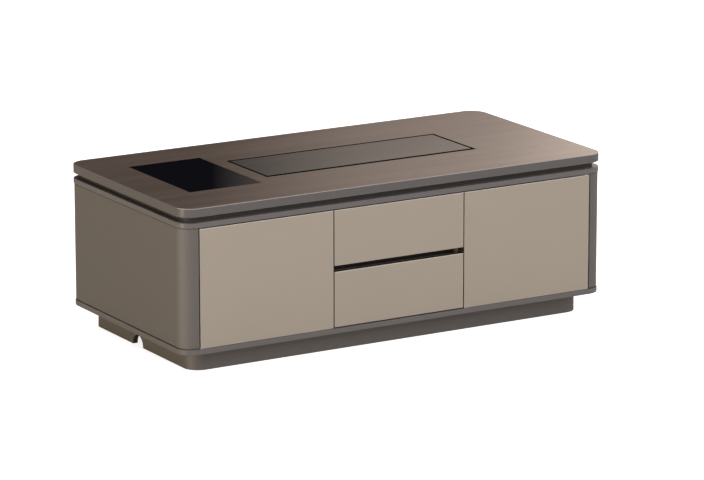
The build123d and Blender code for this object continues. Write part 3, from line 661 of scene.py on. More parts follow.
@dataclass(frozen=True)
class Ink:
    """Prints thin marks on a flat surface."""

    net: Net
    flat: Feed

    def ring(self, centre: Point, radius: float, line: float, squash: Point = (1.0, 1.0, 1.0)) -> Socket:
        """Mask of a ring, or of a full spot where its line is twice its radius."""
        return PrintedRing.use(
            self.net, Place=self.flat, Centre=centre, Squash=squash, Radius=radius, Line=line
        )["Mask"]

    def bar(self, centre: Point, half_x: float, half_y: float) -> Socket:
        """Mask of a bar."""
        return PrintedBar.use(self.net, Place=self.flat, Centre=centre, Half=(half_x, half_y, 1.0))["Mask"]


@dataclass(frozen=True)
class HobGlass(Finish):
    """Black glass with its printed zone rings, touch marks and one small oval mark."""

    shade: str = "020203"
    ink: str = "8c8c8a"
    oval_ink: str = "d8d8d4"
    zone_radius: float = 45.0 * MM
    zone_ticks: float = 9.0 * MM
    line: float = 0.7 * MM
    oval: Point = (-0.3693, -0.150, 0.0)
    oval_half: tuple[float, float] = (6.2 * MM, 3.4 * MM)
    keys: tuple[Point, ...] = (
        (-0.538, 0.1746, 0.0),
        (-0.518, 0.1746, 0.0),
        (-0.497, 0.1746, 0.0),
        (-0.494, 0.1524, 0.0),
    )
    key_radius: float = 3.2 * MM
    key_line: float = 0.6 * MM
    lamp_radius: float = 0.6 * MM
    printed_from: tuple[float, float] = (0.4795, 0.4799)
    smear: float = 14.0
    ripple: float = 9.0
    relief: float = 0.02 * MM

    def fill(self, net: Net, node: str) -> None:
        """Glass with the ink laid over it, on its upper face only."""
        place = net.place()
        ink = Ink(net, net.vector("MULTIPLY", place, (1.0, 1.0, 0.0)))
        inked, *masks = [*self.zones(ink), *self.touch_keys(ink)]
        half_x, half_y = self.oval_half
        mark = ink.ring(self.oval, half_x / 2, half_x, (1.0, half_x / half_y, 1.0))
        for mask in masks:
            inked = net.math("MAXIMUM", inked, mask)
        top = net.span(net.split(place)[2], *self.printed_from)
        dull = net.times(net.math("MAXIMUM", inked, mark), top)
        colour = net.mix(net.times(inked, top), tone(self.shade), tone(self.ink))
        colour = net.mix(net.times(mark, top), colour, tone(self.oval_ink))
        sheen = net.plus(net.times(net.noise(place, self.smear), 0.5), net.times(dull, 0.75))
        self.shader(net, colour, sheen, net.bump(net.noise(place, self.ripple, 1.0), self.relief))

    def zones(self, ink: Ink) -> Iterator[Socket]:
        """A ring and a cross of four short ticks over each coil."""
        low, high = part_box("hob_coils")
        middle = (low + high) / 2
        reach = (high.y - low.y) / 2 - (high.x - low.x) / 2
        for side in (-1, 1):
            centre = (middle.x, middle.y + side * reach, 0.0)
            yield ink.ring(centre, self.zone_radius, self.line)
            yield ink.bar(centre, self.zone_ticks, self.line / 2)
            yield ink.bar(centre, self.line / 2, self.zone_ticks)

    def touch_keys(self, ink: Ink) -> Iterator[Socket]:
        """On and off, less, more, and a lamp dot."""
        on_off, less, more, lamp = self.keys
        reach, half = self.key_radius, self.key_line / 2
        yield ink.ring(on_off, reach, self.key_line)
        yield ink.bar((on_off[0], on_off[1] + reach * 0.6, 0.0), half, reach * 0.5)
        yield ink.bar(less, reach, half)
        yield ink.bar(more, reach, half)
        yield ink.bar(more, half, reach)
        yield ink.ring(lamp, self.lamp_radius, 2 * self.lamp_radius)


# Dark brown edges of the fronts behind their face skin: partly a dark board core, partly painted shade in the gaps
# between fronts.
FRONT_CORE_AND_GAP_SHADE = Layer("3a2f27", BACK, 2.5 * MM, 17.0 * MM)
FRONT_SKIN = Layer("b4a89b", BACK, -1.0 * MM, 1.2 * MM)
# Painted highlight: a near-white line along the top millimetre of each front's face, standing for light caught on
# the arris.
FRONT_TOP_PAINTED_HIGHLIGHT = Layer("fff6ea", DOWN, -1.0 * MM, 1.0 * MM, within=FRONT_SKIN)
# Painted shade: near-black front edges of the partitions, standing for the shade at the ends of the finger slot
# and in the gaps between fronts.
PARTITION_TIP_SHADE = Layer("1e1814", BACK, -1.0 * MM, 1.0 * MM)
# Near-black sides of the slab: partly a dark board core, partly painted shade in the groove round the slab.
SLAB_CORE_AND_GROOVE_SHADE = Layer("100e0d", UP, -1.0 * MM, 11.6 * MM)
# Painted highlight: a pale line along the top 1.7 mm of the tabletop's band, only within its front 36 mm, standing
# for light caught on the front arris.
BAND_HIGHLIGHT_ZONE = Layer("6c6867", BACK, -1.0 * MM, 36.0 * MM)
BAND_PAINTED_HIGHLIGHT = Layer("aca39d", DOWN, -1.0 * MM, 1.7 * MM, within=BAND_HIGHLIGHT_ZONE)

WOOD_TOP = WoodGrain("wood_top", (0.27, 0.35), 0.52, dark="483529", middle="544134", light="604b3c", pores=0.4)
SLAB_WOOD = WoodGrain(
    "slab_wood",
    (0.24, 0.30),
    0.4,
    dark="29251f",
    middle="332e29",
    light="3b3631",
    rub_and_highlight_tone="3b3631",
    pores=0.3,
    relief=0.003,
    layers=(SLAB_CORE_AND_GROOVE_SHADE,),
)
# The carcass rings take a lighter tone of the band's grey below; the difference between them is painted light on
# the rings.
EDGE_GREY = Lacquer("edge_grey", (0.31, 0.36), 0.18, shade="767170", rub_and_highlight_tone="8f8782", corner=0.05, wear=0.5)
# The band's pale rub along its edges is partly edge wear, partly painted highlight.
BAND_GREY = Lacquer(
    "band_grey", (0.31, 0.36), 0.18, shade="6c6867", rub_and_highlight_tone="9a918b", corner=0.05, wear=0.5, layers=(BAND_PAINTED_HIGHLIGHT,)
)
SHELL_GREY = Lacquer("shell_grey", (0.27, 0.32), 0.22, shade="70615a", drift=0.06)
# The fronts' pale rub along their edges is partly edge wear, partly painted highlight.
FRONT_BEIGE = Lacquer(
    "front_beige", (0.44, 0.54), 0.20, shade="b4a89b", rub_and_highlight_tone="d4cabe", drift=0.06, layers=(FRONT_CORE_AND_GAP_SHADE, FRONT_TOP_PAINTED_HIGHLIGHT)
)
# Painted shade: near-black walls of the tabletop's cut-outs, standing for the shade down in the grooves.
WELL_WALL_SHADE = Lacquer("well_edge", (0.5, 0.6), 0.1, shade="1c1714", drift=0.2)
# Painted shade: the spacer rails in the gap under the top get a dark tone that stands for the shade there.
SPACER_SHADE = Lacquer("shadow_stain", (0.6, 0.7), 0.2, shade="46423f", drift=0.3, peel=0.05)
INNER_BOARD = Lacquer(
    "inner_board", (0.5, 0.6), 0.3, shade="958b80", rub_and_highlight_tone="a89e94", drift=0.25, peel=0.05, layers=(PARTITION_TIP_SHADE,)
)
# Painted light: the finger channel is near white and not metallic, so that the shaded recess behind the fronts
# renders lighter.
CHANNEL_PAINTED_LIGHT = Metal("channel_metal", (0.38, 0.5), 0.4, shade="f0eae2", run=Run.ALONG_X, metallic=0.0)
STEEL = Metal("steel", (0.24, 0.36), 0.5, shade="b2b2b4", run=Run.ALONG_Y)
PAN_STEEL = Metal("pan_steel", (0.26, 0.4), 0.5, shade="a9a9a8", run=Run.ALONG_X)
SCREW_ZINC = Metal("screw_zinc", (0.25, 0.35), 0.5, shade="c2c3c6")
BLACK_PLASTIC = Lacquer("black_plastic", (0.42, 0.56), 0.4, shade="26262a", drift=0.4, peel=0.08)
HOUSING_SHEET = Metal("housing_sheet", (0.4, 0.5), 0.4, shade="5a5b5e", run=Run.ALONG_Y, metallic=0.8)
COPPER_WIRE = Winding("copper_wire", (0.3, 0.45), 0.5)
CIRCUIT_CARD = CardPrint("circuit_card", (0.4, 0.5), 0.5)
HEAT_SINK_ALLOY = Metal("heat_sink_alloy", (0.35, 0.45), 0.5, shade="b9babb", run=Run.ALONG_Y)
FOOT_RUBBER = Lacquer("foot_rubber", (0.75, 0.85), 0.25, shade="232323", drift=0.4, peel=0.12)
BLACK_GLASS = HobGlass("black_glass", (0.03, 0.3), 0.5)


# ================================================================ modelling by hand
def choose(*pieces: Piece) -> None:
    """Selects these pieces alone, the last one active, or none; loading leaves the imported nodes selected."""
    bpy.ops.object.select_all(action="DESELECT")
    for piece in pieces:
        piece.select_set(True)
        bpy.context.view_layer.objects.active = piece


@contextmanager
def shaping(piece: Piece, mode: str) -> Iterator[bmesh.types.BMesh]:
    """Edit mode on one piece with nothing selected.

    Args:
        piece: The piece.
        mode: VERT, EDGE or FACE.

    Yields:
        The mesh being edited.
    """
    choose(piece)
    bpy.ops.object.mode_set(mode="EDIT")
    bpy.ops.mesh.select_mode(type=mode)
    bpy.ops.mesh.select_all(action="DESELECT")
    yield bmesh.from_edit_mesh(piece.data)
    bpy.ops.object.mode_set(mode="OBJECT")


def pick(piece: Piece, mesh: bmesh.types.BMesh, test: Test) -> None:
    """Selects the faces whose middle and normal pass a test."""
    for face in mesh.faces:
        face.select_set(test(face.calc_center_median(), face.normal))
    mesh.select_flush_mode()
    bmesh.update_edit_mesh(piece.data)


def ease(piece: Piece, offset: float, steps: int, test: Test) -> None:
    """Rounds the edges whose two ends pass a test.

    Args:
        piece: The piece.
        offset: How far the rounding reaches.
        steps: Faces across it.
        test: Test of an edge's two ends.
    """
    with shaping(piece, "EDGE") as mesh:
        for edge in mesh.edges:
            edge.select_set(test(edge.verts[0].co, edge.verts[1].co))
        mesh.select_flush_mode()
        bmesh.update_edit_mesh(piece.data)
        bpy.ops.mesh.bevel(offset=offset, segments=steps, affect="EDGES")


def modify(piece: Piece, kind: str, **settings: object) -> None:
    """Adds a modifier with its settings to a piece and applies it."""
    choose(piece)
    modifier = piece.modifiers.new(kind.lower(), kind)
    for name, value in settings.items():
        setattr(modifier, name, value)
    bpy.ops.object.modifier_apply(modifier=modifier.name)


def apply_place(piece: Piece) -> None:
    """Puts a piece's place, turn and scale into its mesh."""
    choose(piece)
    bpy.ops.object.transform_apply(location=True, rotation=True, scale=True)


def added(name: str, scale: Sequence[float] = (1.0, 1.0, 1.0)) -> Piece:
    """Names the piece that was just added, and puts its place and scale into its mesh."""
    piece = bpy.context.object
    piece.name = name
    piece.scale = scale
    apply_place(piece)
    return piece


def coat(piece: Piece, *materials: bpy.types.Material) -> None:
    """Gives a piece its materials, in slot order."""
    piece.data.materials.clear()
    for material in materials:
        piece.data.materials.append(material)


def finish_mesh(piece: Piece, *materials: bpy.types.Material, angle: float = 35.0) -> None:
    """Closes, turns outwards, smooths and coats a mesh.

    Args:
        piece: The piece.
        materials: Its materials, in slot order.
        angle: Edges that bend by less than this many degrees are smooth.
    """
    apply_place(piece)
    with shaping(piece, "FACE"):
        bpy.ops.mesh.select_all(action="SELECT")
        bpy.ops.mesh.remove_doubles(threshold=0.001 * MM)
        bpy.ops.mesh.normals_make_consistent(inside=False)
    choose(piece)
    bpy.ops.object.shade_smooth_by_angle(angle=math.radians(angle))
    modify(piece, "WEIGHTED_NORMAL", keep_sharp=True)
    coat(piece, *materials)


def square_block(name: str, low: Sequence[float], high: Sequence[float]) -> Piece:
    """Square block between two corners."""
    low, high = Vector(low), Vector(high)
    choose()
    bpy.ops.mesh.primitive_cube_add(size=1.0, location=(low + high) / 2)
    return added(name, high - low)


def rounded_board(name: str, low: Vector, high: Vector, corner: float, steps: int) -> Piece:
    """Board with rounded plan corners.

    Args:
        name: The piece's name.
        low: Lowest corner of its box.
        high: Highest corner of its box.
        corner: Radius of the plan corners.
        steps: Faces round each corner.

    Returns:
        The piece.
    """
    piece = square_block(name, low, high)
    ease(piece, corner, steps, lambda a, b: abs(a.z - b.z) > 0.5 * (high.z - low.z))
    return piece


def cylinder(name: str, radius: float, depth: float, middle: Sequence[float], sides: int) -> Piece:
    """Upright cylinder round its middle."""
    choose()
    bpy.ops.mesh.primitive_cylinder_add(vertices=sides, radius=radius, depth=depth, location=middle)
    return added(name)


def join(name: str, pieces: Sequence[Piece]) -> Piece:
    """Joins pieces into one."""
    choose(*pieces)
    bpy.ops.object.join()
    piece = bpy.context.object
    piece.name = name
    return piece


def cut(piece: Piece, *tools: Piece) -> None:
    """Cuts tools out of a piece and removes the tools."""
    for tool in tools:
        modify(piece, "BOOLEAN", object=tool, operation="DIFFERENCE", solver="EXACT")
        bpy.data.objects.remove(tool)


def carry(piece: Piece, body: Body, slot: Slot) -> None:
    """Makes a piece ride a body and logs its face count."""
    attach(piece, body.value)
    LOG.info("%s rides %s, %d faces", piece.name, body.value, len(piece.data.polygons))


def dress(finish: Finish, *nodes: str, fitted: bool = False) -> None:
    """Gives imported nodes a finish.

    Args:
        finish: The finish.
        nodes: The nodes' names.
        fitted: True where the finish is fitted to each node's own box.
    """
    for name in nodes:
        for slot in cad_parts[name].material_slots:
            slot.material = finish.material(name if fitted else "")
    LOG.info("%s dressed in %s", ", ".join(nodes), finish.name)


@dataclass(frozen=True)
class Screw:
    """Low pan-head screw with a cross recess, seen from its head."""

    radius: float = 3.4 * MM
    proud: float = 1.2 * MM
    edge: float = 0.5 * MM
    slot_length: float = 3.6 * MM
    slot_width: float = 0.8 * MM
    slot_depth: float = 0.8 * MM
    sides: int = 24

    def model(self) -> Piece:
        """One head at the origin, looking up."""
        head = cylinder("screw_head", self.radius, self.proud, (0, 0, self.proud / 2), self.sides)
        ease(head, self.edge, 3, lambda a, b: min(a.z, b.z) > 0.9 * self.proud)
        long, thin = self.slot_length / 2, self.slot_width / 2
        floor, above = self.proud - self.slot_depth, 2 * self.proud
        for x, y in ((long, thin), (thin, long)):
            cut(head, square_block("bar", (-x, -y, floor), (x, y, above)))
        return head

    def set_in(self, name: str, places: Sequence[Point], facings: Sequence[Point], body: Body) -> None:
        """Sets a group of screws, made one piece that rides one body.

        Args:
            name: The group's name.
            places: Where the heads sit.
            facings: Which way each head faces.
            body: The body that they ride on.
        """
        head = self.model()
        copies = []
        for place, facing in zip(places, facings):
            copy = head.copy()
            copy.data = head.data.copy()
            bpy.context.scene.collection.objects.link(copy)
            turn = Vector(facing).to_track_quat("Z", "Y").to_matrix().to_4x4()
            copy.matrix_world = Matrix.Translation(place) @ turn
            copies.append(copy)
        bpy.data.objects.remove(head)
        group = join(name, copies)
        finish_mesh(group, SCREW_ZINC.material())
        carry(group, body, Slot.STEEL)


# ================================================================ sub-assemblies
@dataclass
class Tabletop:
    """Grained top board with its edge band, let-in hob rebate and tray well."""

    corner: float = 50 * MM
    corner_steps: int = 20
    band: float = 2.0 * MM
    ease_high: float = 1.6 * MM
    ease_low: float = 1.0 * MM
    rim: float = 10.0 * MM
    glass_fit: float = 0.4 * MM
    glass_corner: float = 3.4 * MM
    housing_fit: float = 2.0 * MM
    groove_left: float = 9.0 * MM
    groove_right: float = 5.5 * MM
    groove_back: float = 5.5 * MM
    groove_front: float = 9.5 * MM
    groove_ear: float = 7.5 * MM
    overcut: float = 1.0 * MM
    low: Vector = field(default_factory=lambda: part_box("tabletop")[0])
    high: Vector = field(default_factory=lambda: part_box("tabletop")[1])

    def build(self) -> None:
        """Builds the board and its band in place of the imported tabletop."""
        board = self.board()
        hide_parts("tabletop")
        carry(board, Body.ROOT, Slot.WOOD_TOP)
        carry(self.edge_band(), Body.ROOT, Slot.EDGE)

    def board(self) -> Piece:
        """Board inside the band, with its cut-outs; their walls are near black, as painted shade in the grooves.
        """
        inset = Vector((self.band, self.band, 0))
        piece = rounded_board(
            "tabletop_board", self.low + inset, self.high - inset, self.corner - self.band, self.corner_steps
        )
        cut(piece, *self.cutters())
        finish_mesh(piece, WOOD_TOP.material(), WELL_WALL_SHADE.material())
        x_end, y_end = self.high.x - self.rim, self.high.y - self.rim
        with shaping(piece, "FACE") as mesh:
            pick(piece, mesh, lambda at, n: n.z < UPWARD and abs(at.x) < x_end and abs(at.y) < y_end)
            bpy.context.object.active_material_index = 1
            bpy.ops.object.material_slot_assign()
        return piece

    def cutters(self) -> list[Piece]:
        """Blocks for the glass rebate, the housing, the well and the well's ear."""
        over = Vector((0, 0, self.overcut))
        fit = Vector((self.glass_fit, self.glass_fit, 0))
        low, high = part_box("hob_glass")
        rebate = rounded_board("rebate", low - fit, high + fit + over, self.glass_corner, 4)
        fit = Vector((self.housing_fit, self.housing_fit, 0))
        low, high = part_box("hob_housing")
        low.z = self.low.z
        opening = square_block("opening", low - fit - over, high + fit + over)
        low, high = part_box("tea_tray_slab")
        floor, above = self.low.z - self.overcut, high.z + self.overcut
        front, back = low.y - self.groove_front, high.y + self.groove_back
        left, right = low.x - self.groove_left, high.x + self.groove_right
        well = square_block("well", (left, front, floor), (right, back, above))
        ear = square_block("ear", (high.x, front, floor), (high.x + self.groove_ear, low.y, above))
        return [rebate, opening, well, ear]

    def edge_band(self) -> Piece:
        """Band round the board with an eased outer edge."""
        piece = rounded_board("tabletop_edge_band", self.low, self.high, self.corner, self.corner_steps)
        with shaping(piece, "FACE") as mesh:
            pick(piece, mesh, lambda at, n: abs(n.z) > UPWARD)
            bpy.ops.mesh.delete(type="FACE")
            bpy.ops.mesh.select_all(action="SELECT")
            bpy.ops.mesh.normals_make_consistent(inside=False)
        modify(piece, "SOLIDIFY", thickness=self.band, offset=-1.0, use_even_offset=True)
        for level, offset, steps in ((self.high.z, self.ease_high, 4), (self.low.z, self.ease_low, 2)):
            ease(piece, offset, steps, lambda a, b: self.outer(a, level) and self.outer(b, level))
        finish_mesh(piece, BAND_GREY.material("tabletop"))
        return piece

    def outer(self, at: Vector, level: float) -> bool:
        """True on the outer outline at one level."""
        if abs(at.z - level) > NEAR:
            return False
        past_x = abs(at.x) - (self.high.x - self.corner)
        past_y = abs(at.y) - (self.high.y - self.corner)
        reach = math.hypot(max(past_x, 0.0), max(past_y, 0.0)) + min(max(past_x, past_y), 0.0)
        return abs(reach - self.corner) < self.band / 4


@dataclass
class Carcass:
    """Plinth, shells, boards, back and partitions."""

    def build(self) -> None:
        """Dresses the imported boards."""
        dress(SHELL_GREY, "side_shell_left", "side_shell_right", "back_panel")
        dress(SHELL_GREY, "plinth_left", "plinth_right", "plinth_front", "plinth_back")
        dress(EDGE_GREY, "carcass_top", "bottom_board", fitted=True)
        dress(SPACER_SHADE, "spacer_rails")
        dress(INNER_BOARD, "plinth_rails")
        dress(INNER_BOARD, "partition_left", "partition_right", fitted=True)
        dress(BLACK_PLASTIC, "cable_grommet")


@dataclass
class Doors:
    """Two doors on pivots, with push latches."""

    plate_screw: Screw = Screw(2.8 * MM, 0.5 * MM, 0.25 * MM, slot_length=3.0 * MM, slot_depth=0.35 * MM)
    latch_screw: Screw = Screw(3.0 * MM)
    screw_from_end: float = 12.0 * MM
    screw_pitch: float = 18.0 * MM
    ear_half: float = 7.0 * MM
    ear_thick: float = 3.0 * MM

    def build(self) -> None:
        """Dresses the doors and screws their pivot plates and latches."""
        dress(FRONT_BEIGE, "door_left", "door_right", fitted=True)
        dress(STEEL, "door_pivots_left", "door_pivots_right", "strike_plate_left", "strike_plate_right")
        dress(BLACK_PLASTIC, "pivot_bushes", "latch_bodies", "latch_plunger_left", "latch_plunger_right")
        for side, body in (("left", Body.DOOR_LEFT), ("right", Body.DOOR_RIGHT)):
            self.plate_screws(side, body)
        self.latch_screws()

    def plate_screws(self, side: str, body: Body) -> None:
        """Two screws in the outer face of each pivot plate of one door."""
        low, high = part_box("door_pivots_" + side)
        door_low, door_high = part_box("door_" + side)
        inner_end, outward = (high.x, -1) if side == "left" else (low.x, 1)
        first = inner_end + outward * self.screw_from_end
        across = (first, first + outward * self.screw_pitch)
        middle = (low.y + high.y) / 2
        places = [(x, middle, z) for z in (door_low.z, door_high.z) for x in across]
        self.plate_screw.set_in(f"door_pivot_screws_{side}", places, [DOWN, DOWN, UP, UP], body)

    def latch_screws(self) -> None:
        """One screw under the ear of each latch."""
        low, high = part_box("latch_bodies")
        x, y, z = high.x - self.ear_half, high.y - self.ear_half, high.z - self.ear_thick
        self.latch_screw.set_in("latch_screws", [(-x, y, z), (x, y, z)], [DOWN, DOWN], Body.ROOT)


@dataclass
class Drawers:
    """Two drawers on telescopic runners, with the finger channel between their fronts."""

    front_screw: Screw = Screw()
    rail_screw: Screw = Screw(3.2 * MM, 1.0 * MM, slot_depth=0.6 * MM)
    screw_in: float = 60.0 * MM
    screw_up: float = 30.0 * MM
    end_thick: float = 12.0 * MM
    web: float = 1.2 * MM
    along: tuple[float, ...] = (40 * MM, 230 * MM, 430 * MM)

    def build(self) -> None:
        """Dresses both drawers and drives their screws."""
        for name, body in (("upper", Body.UPPER_DRAWER), ("lower", Body.LOWER_DRAWER)):
            dress(FRONT_BEIGE, f"{name}_drawer_front", fitted=True)
            dress(INNER_BOARD, *(f"{name}_drawer_{part}" for part in ("sides", "ends", "bottom")))
            dress(STEEL, *(f"{name}_{member}_rails" for member in ("cabinet", "middle", "drawer")))
            self.front_screws(name, body)
            self.rail_fixings(name, body)
        dress(CHANNEL_PAINTED_LIGHT, "finger_channel")

    def front_screws(self, name: str, body: Body) -> None:
        """Four screws through the inner front into the drawer front."""
        low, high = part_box(f"{name}_drawer_ends")
        across = (low.x + self.screw_in, high.x - self.screw_in)
        levels = (low.z + self.screw_up, high.z - self.screw_up)
        places = [(x, low.y + self.end_thick, z) for x in across for z in levels]
        self.front_screw.set_in(f"{name}_drawer_front_screws", places, [BACK] * len(places), body)

    def rail_fixings(self, name: str, body: Body) -> None:
        """Screws through the web of each drawer member into the drawer's side."""
        low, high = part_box(f"{name}_drawer_rails")
        side_low, side_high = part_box(f"{name}_drawer_sides")
        z = (low.z + high.z) / 2
        webs = (side_high.x + self.web, side_low.x - self.web)
        places = [(x, low.y + at, z) for at in self.along for x in webs]
        self.rail_screw.set_in(f"{name}_rail_screws", places, [RIGHT, LEFT] * len(self.along), body)


@dataclass
class Hob:
    """Built-in hob: glass, housing and what hangs under it."""

    turns: int = 17
    bore: float = 14.0 * MM
    ring_steps: int = 64
    wire_steps: int = 8
    screw: Screw = Screw()
    screw_in: float = 10.0 * MM
    clamp_foot: float = 2.0 * MM

    def build(self) -> None:
        """Dresses the hob, winds its coils and screws its clamps."""
        dress(BLACK_GLASS, "hob_glass")
        dress(HOUSING_SHEET, "hob_housing")
        dress(BLACK_PLASTIC, "hob_coil_carriers", "hob_cable_gland", "hob_fan_frame", "hob_fan_rotor")
        dress(CIRCUIT_CARD, "hob_circuit_board")
        dress(HEAT_SINK_ALLOY, "hob_heat_sink")
        dress(STEEL, "hob_clamps")
        self.coils()
        self.clamp_screws()

    def coils(self) -> None:
        """Two flat coils of closely laid turns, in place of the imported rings."""
        low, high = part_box("hob_coils")
        middle = (low + high) / 2
        radius = (high.x - low.x) / 2
        reach = (high.y - low.y) / 2 - radius
        pitch = (radius - self.bore) / self.turns
        for side, name in ((-1, "front"), (1, "back")):
            turns = []
            for turn in range(self.turns):
                choose()
                bpy.ops.mesh.primitive_torus_add(
                    location=(middle.x, middle.y + side * reach, middle.z),
                    major_radius=self.bore + (turn + 0.5) * pitch,
                    minor_radius=pitch / 2,
                    major_segments=self.ring_steps,
                    minor_segments=self.wire_steps,
                )
                turns.append(bpy.context.object)
            coil = join(f"hob_coil_{name}_winding", turns)
            finish_mesh(coil, COPPER_WIRE.material(), angle=60.0)
            if side < 0:
                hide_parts("hob_coils")
            carry(coil, Body.ROOT, Slot.COPPER)

    def clamp_screws(self) -> None:
        """One screw up through the foot of each clamp."""
        low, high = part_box("hob_clamps")
        x, z = (low.x + high.x) / 2, high.z - self.clamp_foot
        places = [(x, y, z) for y in (low.y + self.screw_in, high.y - self.screw_in)]
        self.screw.set_in("hob_clamp_screws", places, [DOWN, DOWN], Body.ROOT)


@dataclass
class TeaTray:
    """Slab, its feet, the drain pan under it and the drain."""

    slip_front: float = 6.0 * MM
    slip_back: float = 4.0 * MM
    slip_right: float = 3.0 * MM
    slab_ease: float = 0.6 * MM
    strainer_sides: int = 48
    strainer_ease: float = 0.3 * MM
    flange: float = 1.5 * MM
    slope: float = 0.8 * MM
    dish: float = 0.5 * MM
    hole: float = 1.2 * MM
    hole_sides: int = 12
    hole_reach: float = 10.0 * MM
    rings: tuple[tuple[float, int], ...] = ((0.0, 1), (4.4 * MM, 6), (8.6 * MM, 12), (12.6 * MM, 18))

    def build(self) -> None:
        """Dresses the tray and makes its slab and strainer."""
        self.slab()
        dress(FOOT_RUBBER, "tray_feet")
        dress(PAN_STEEL, "drain_pan")
        dress(BLACK_PLASTIC, "drain_spigot", "drain_nut")
        self.strainer()

    def slab(self) -> None:
        """Slab with eased edges and a finger's slip in its well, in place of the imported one."""
        low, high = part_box("tea_tray_slab")
        piece = square_block(
            "tea_tray_slab_eased",
            low + Vector((0, self.slip_front, 0)),
            high - Vector((self.slip_right, self.slip_back, 0)),
        )
        ease(piece, self.slab_ease, 3, lambda a, b: max(a.z, b.z) > high.z - NEAR)
        finish_mesh(piece, SLAB_WOOD.material("tea_tray_slab"))
        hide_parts("tea_tray_slab")
        carry(piece, Body.TEA_TRAY, Slot.SLAB)

    def strainer(self) -> None:
        """Round dished strainer with rings of holes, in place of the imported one."""
        low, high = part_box("drain_strainer")
        middle = (low + high) / 2
        piece = cylinder(
            "drain_strainer_dished", (high.x - low.x) / 2, high.z - low.z, middle, self.strainer_sides
        )
        with shaping(piece, "FACE") as mesh:
            pick(piece, mesh, lambda at, n: n.z > UPWARD)
            bpy.ops.mesh.inset(thickness=self.flange)
            bpy.ops.mesh.inset(thickness=self.slope)
            bpy.ops.transform.translate(value=(0, 0, -self.dish))
        ease(piece, self.strainer_ease, 2, lambda a, b: min(a.z, b.z) > high.z - NEAR)
        holes = []
        for radius, count in self.rings:
            for step in range(count):
                angle = 2 * math.pi * step / count
                at = middle + radius * Vector((math.cos(angle), math.sin(angle), 0.0))
                holes.append(cylinder("hole", self.hole, self.hole_reach, at, self.hole_sides))
        cut(piece, join("holes", holes))
        finish_mesh(piece, PAN_STEEL.material())
        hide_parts("drain_strainer")
        carry(piece, Body.ROOT, Slot.STEEL)


# ================================================================ studio
@dataclass(frozen=True)
class Softbox:
    """One soft light."""

    name: str
    place: Point
    aim: Point
    size: tuple[float, float]
    power: float
    colour: str = "ffffff"
    gloss_only: bool = False

    def hang(self) -> None:
        """Adds the light, unseen by the camera."""
        light = bpy.data.lights.new(self.name, "AREA")
        light.shape = "RECTANGLE"
        light.size, light.size_y = self.size
        light.energy = self.power
        light.color = tone(self.colour)[:3]
        lamp = bpy.data.objects.new(self.name, light)
        bpy.context.scene.collection.objects.link(lamp)
        lamp.location = self.place
        lamp.rotation_euler = (Vector(self.aim) - Vector(self.place)).to_track_quat("-Z", "Y").to_euler()
        lamp.visible_camera = False
        lamp.visible_diffuse = not self.gloss_only


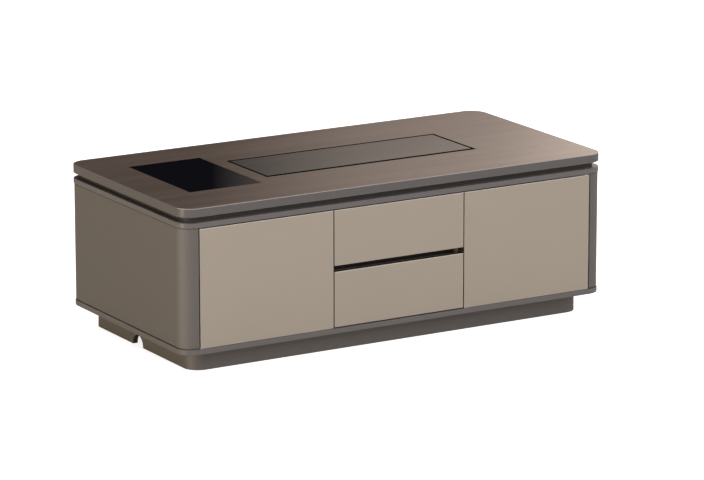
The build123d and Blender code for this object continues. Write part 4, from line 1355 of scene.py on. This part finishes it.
@dataclass
class Studio:
    """Pale floor, white surround, softboxes and the camera."""

    floor_size: float = 120.0
    floor_tone: str = "f4f4f4"
    floor_glow: float = 0.85
    floor_bounce: str = "dcd8d4"
    floor_roughness: float = 0.9
    lobes: tuple[tuple[Point, float], ...] = (
        ((0, 0, 1), 0.55),
        ((0, -1, 0), 0.15),
        ((1, 0, 0), 1.40),
        ((0, 1, 0), 2.60),
    )
    softboxes: tuple[Softbox, ...] = (
        Softbox("left_far", (-6.0, -0.3, 0.24), (-0.7, 0.0, 0.24), (3.0, 0.42), 106.0, "ffe4b4"),
        Softbox("front_high", (-1.0, -6.0, 4.2), (0.0, -0.35, 0.25), (3.0, 3.0), 124.0),
        Softbox("front_low", (-0.6, -6.0, 1.5), (0.0, -0.35, 0.25), (3.0, 1.0), 38.0),
        Softbox("corner_strip", (-5.58, -1.34, 0.235), (-0.68, -0.33, 0.25), (0.2, 0.44), 215.0, gloss_only=True),
    )
    dark_back: tuple[float, float] = (0.0, 0.75)
    dark_low: tuple[float, float] = (0.30, 0.75)
    card_low: Point = (0.9, 2.4, 0.3)
    card_high: Point = (3.6, 2.4, 2.6)
    card_light: float = 2.45
    card_tone: str = "ffeadb"
    card_stops: tuple[tuple[float, float], ...] = ((0.9, 0.0), (1.5, 0.25), (2.1, 0.38), (2.7, 1.0), (3.6, 0.25))
    card_foot: float = 0.4
    card_rise: tuple[float, float] = (0.7, 1.7)
    card_sway: tuple[float, float] = (0.5, 1.5)
    yaw: float = 30.68
    pitch: float = 14.01
    roll: float = -0.04
    lens: float = 214.86
    camera_place: Point = (-6.02955, -10.24554, 3.1989)

    def build(self) -> None:
        """Sets the whole studio."""
        self.camera()
        self.floor()
        self.surround()
        self.back_card()
        for softbox in self.softboxes:
            softbox.hang()
        bpy.context.scene.view_settings.view_transform = "Standard"

    def camera(self) -> None:
        """Long lens from the front left, a little above the table."""
        camera = bpy.data.cameras.new("camera")
        camera.lens = self.lens
        camera.sensor_width = 36.0
        camera.clip_end = 200.0
        holder = bpy.data.objects.new("camera", camera)
        bpy.context.scene.collection.objects.link(holder)
        turn = (
            Matrix.Rotation(math.radians(-self.yaw), 4, "Z")
            @ Matrix.Rotation(math.radians(90 - self.pitch), 4, "X")
            @ Matrix.Rotation(math.radians(self.roll), 4, "Z")
        )
        holder.matrix_world = Matrix.Translation(self.camera_place) @ turn
        bpy.context.scene.camera = holder

    def floor(self) -> None:
        """Pale matt floor, clear from below."""
        choose()
        bpy.ops.mesh.primitive_plane_add(size=self.floor_size)
        floor = added("studio_floor")
        material = bpy.data.materials.new("floor_paper")
        net = Net.of(material)
        shader = net.add("BsdfPrincipled")
        seen = net.add("LightPath").outputs["Is Camera Ray"]
        net.feed(shader.inputs["Base Color"], net.mix(seen, tone(self.floor_bounce), tone(self.floor_tone)))
        shader.inputs["Roughness"].default_value = self.floor_roughness
        shader.inputs["Specular IOR Level"].default_value = 0.0
        shader.inputs["Emission Color"].default_value = WHITE
        net.feed(shader.inputs["Emission Strength"], net.times(seen, self.floor_glow))
        clear = net.add("BsdfTransparent")
        below = net.add("NewGeometry").outputs["Backfacing"]
        net.add("OutputMaterial", net.add("MixShader", below, shader.outputs[0], clear.outputs[0]).outputs[0])
        coat(floor, material)
        floor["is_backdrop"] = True

    def surround(self) -> None:
        """White to the camera; for light, a soft lobe on each side, and dark low down at the back."""
        world = bpy.data.worlds.new("studio_surround")
        bpy.context.scene.world = world
        net = Net.of(world)
        way = net.add("TexCoord").outputs["Generated"]
        light = 0.0
        for axis, strength in self.lobes:
            share = net.math("MAXIMUM", net.measure("DOT_PRODUCT", way, axis), 0.0)
            light = net.plus(light, net.times(share, share, strength))
        _, y, z = net.split(way)
        shade = net.times(net.span(y, *self.dark_back), net.span(z, *self.dark_low, 1.0, 0.0))
        lit = net.add("Background", WHITE, net.times(net.minus(1.0, shade), light))
        seen = net.add("Background", WHITE, 1.0)
        camera = net.add("LightPath").outputs["Is Camera Ray"]
        net.add("OutputWorld", net.add("MixShader", camera, lit.outputs[0], seen.outputs[0]).outputs[0])

    def back_card(self) -> None:
        """Upright glowing card behind the right end, fading out to its left and at its foot."""
        low, high = Vector(self.card_low), Vector(self.card_high)
        choose()
        bpy.ops.mesh.primitive_plane_add(size=1.0, location=(low + high) / 2, rotation=(math.radians(90), 0, 0))
        card = added("studio_back_card", (high.x - low.x, high.z - low.z, 1.0))
        material = bpy.data.materials.new("card_glow")
        net = Net.of(material)
        x, _, z = net.split(net.place())
        across = net.add("ValToRGB", net.add("MapRange", x, low.x, high.x).outputs[0])
        ramp = across.color_ramp
        for at, _ in self.card_stops[1:-1]:
            ramp.elements.new((at - low.x) / (high.x - low.x))
        for element, (_, share) in zip(ramp.elements, self.card_stops):
            element.color = [share * value for value in tone(self.card_tone)[:3]] + [1.0]
        foot = net.span(z, low.z, low.z + self.card_foot)
        rise = net.span(z, *self.card_rise, *self.card_sway)
        lit = net.add("Emission", across.outputs[0], net.times(rise, foot, self.card_light))
        clear = net.add("BsdfTransparent")
        net.add("OutputMaterial", net.add("AddShader", lit.outputs[0], clear.outputs[0]).outputs[0])
        coat(card, material)
        card.visible_camera = False
        card.visible_shadow = False
        card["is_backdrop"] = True


def write_size() -> None:
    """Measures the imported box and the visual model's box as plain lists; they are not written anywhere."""
    boxes = {"cad": CAD_BOX, "visual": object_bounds()}
    plain = {name: [[float(value) for value in corner] for corner in box] for name, box in boxes.items()}


def main() -> None:
    """Builds the studio and the sub-assemblies in order."""
    logging.basicConfig(level=logging.INFO, format="%(name)s: %(message)s")
    for assembly in (Studio(), Carcass(), Tabletop(), Doors(), Drawers(), Hob(), TeaTray()):
        assembly.build()
        LOG.info("%s done", type(assembly).__name__)
    write_size()


if __name__ == "__main__":
    main()
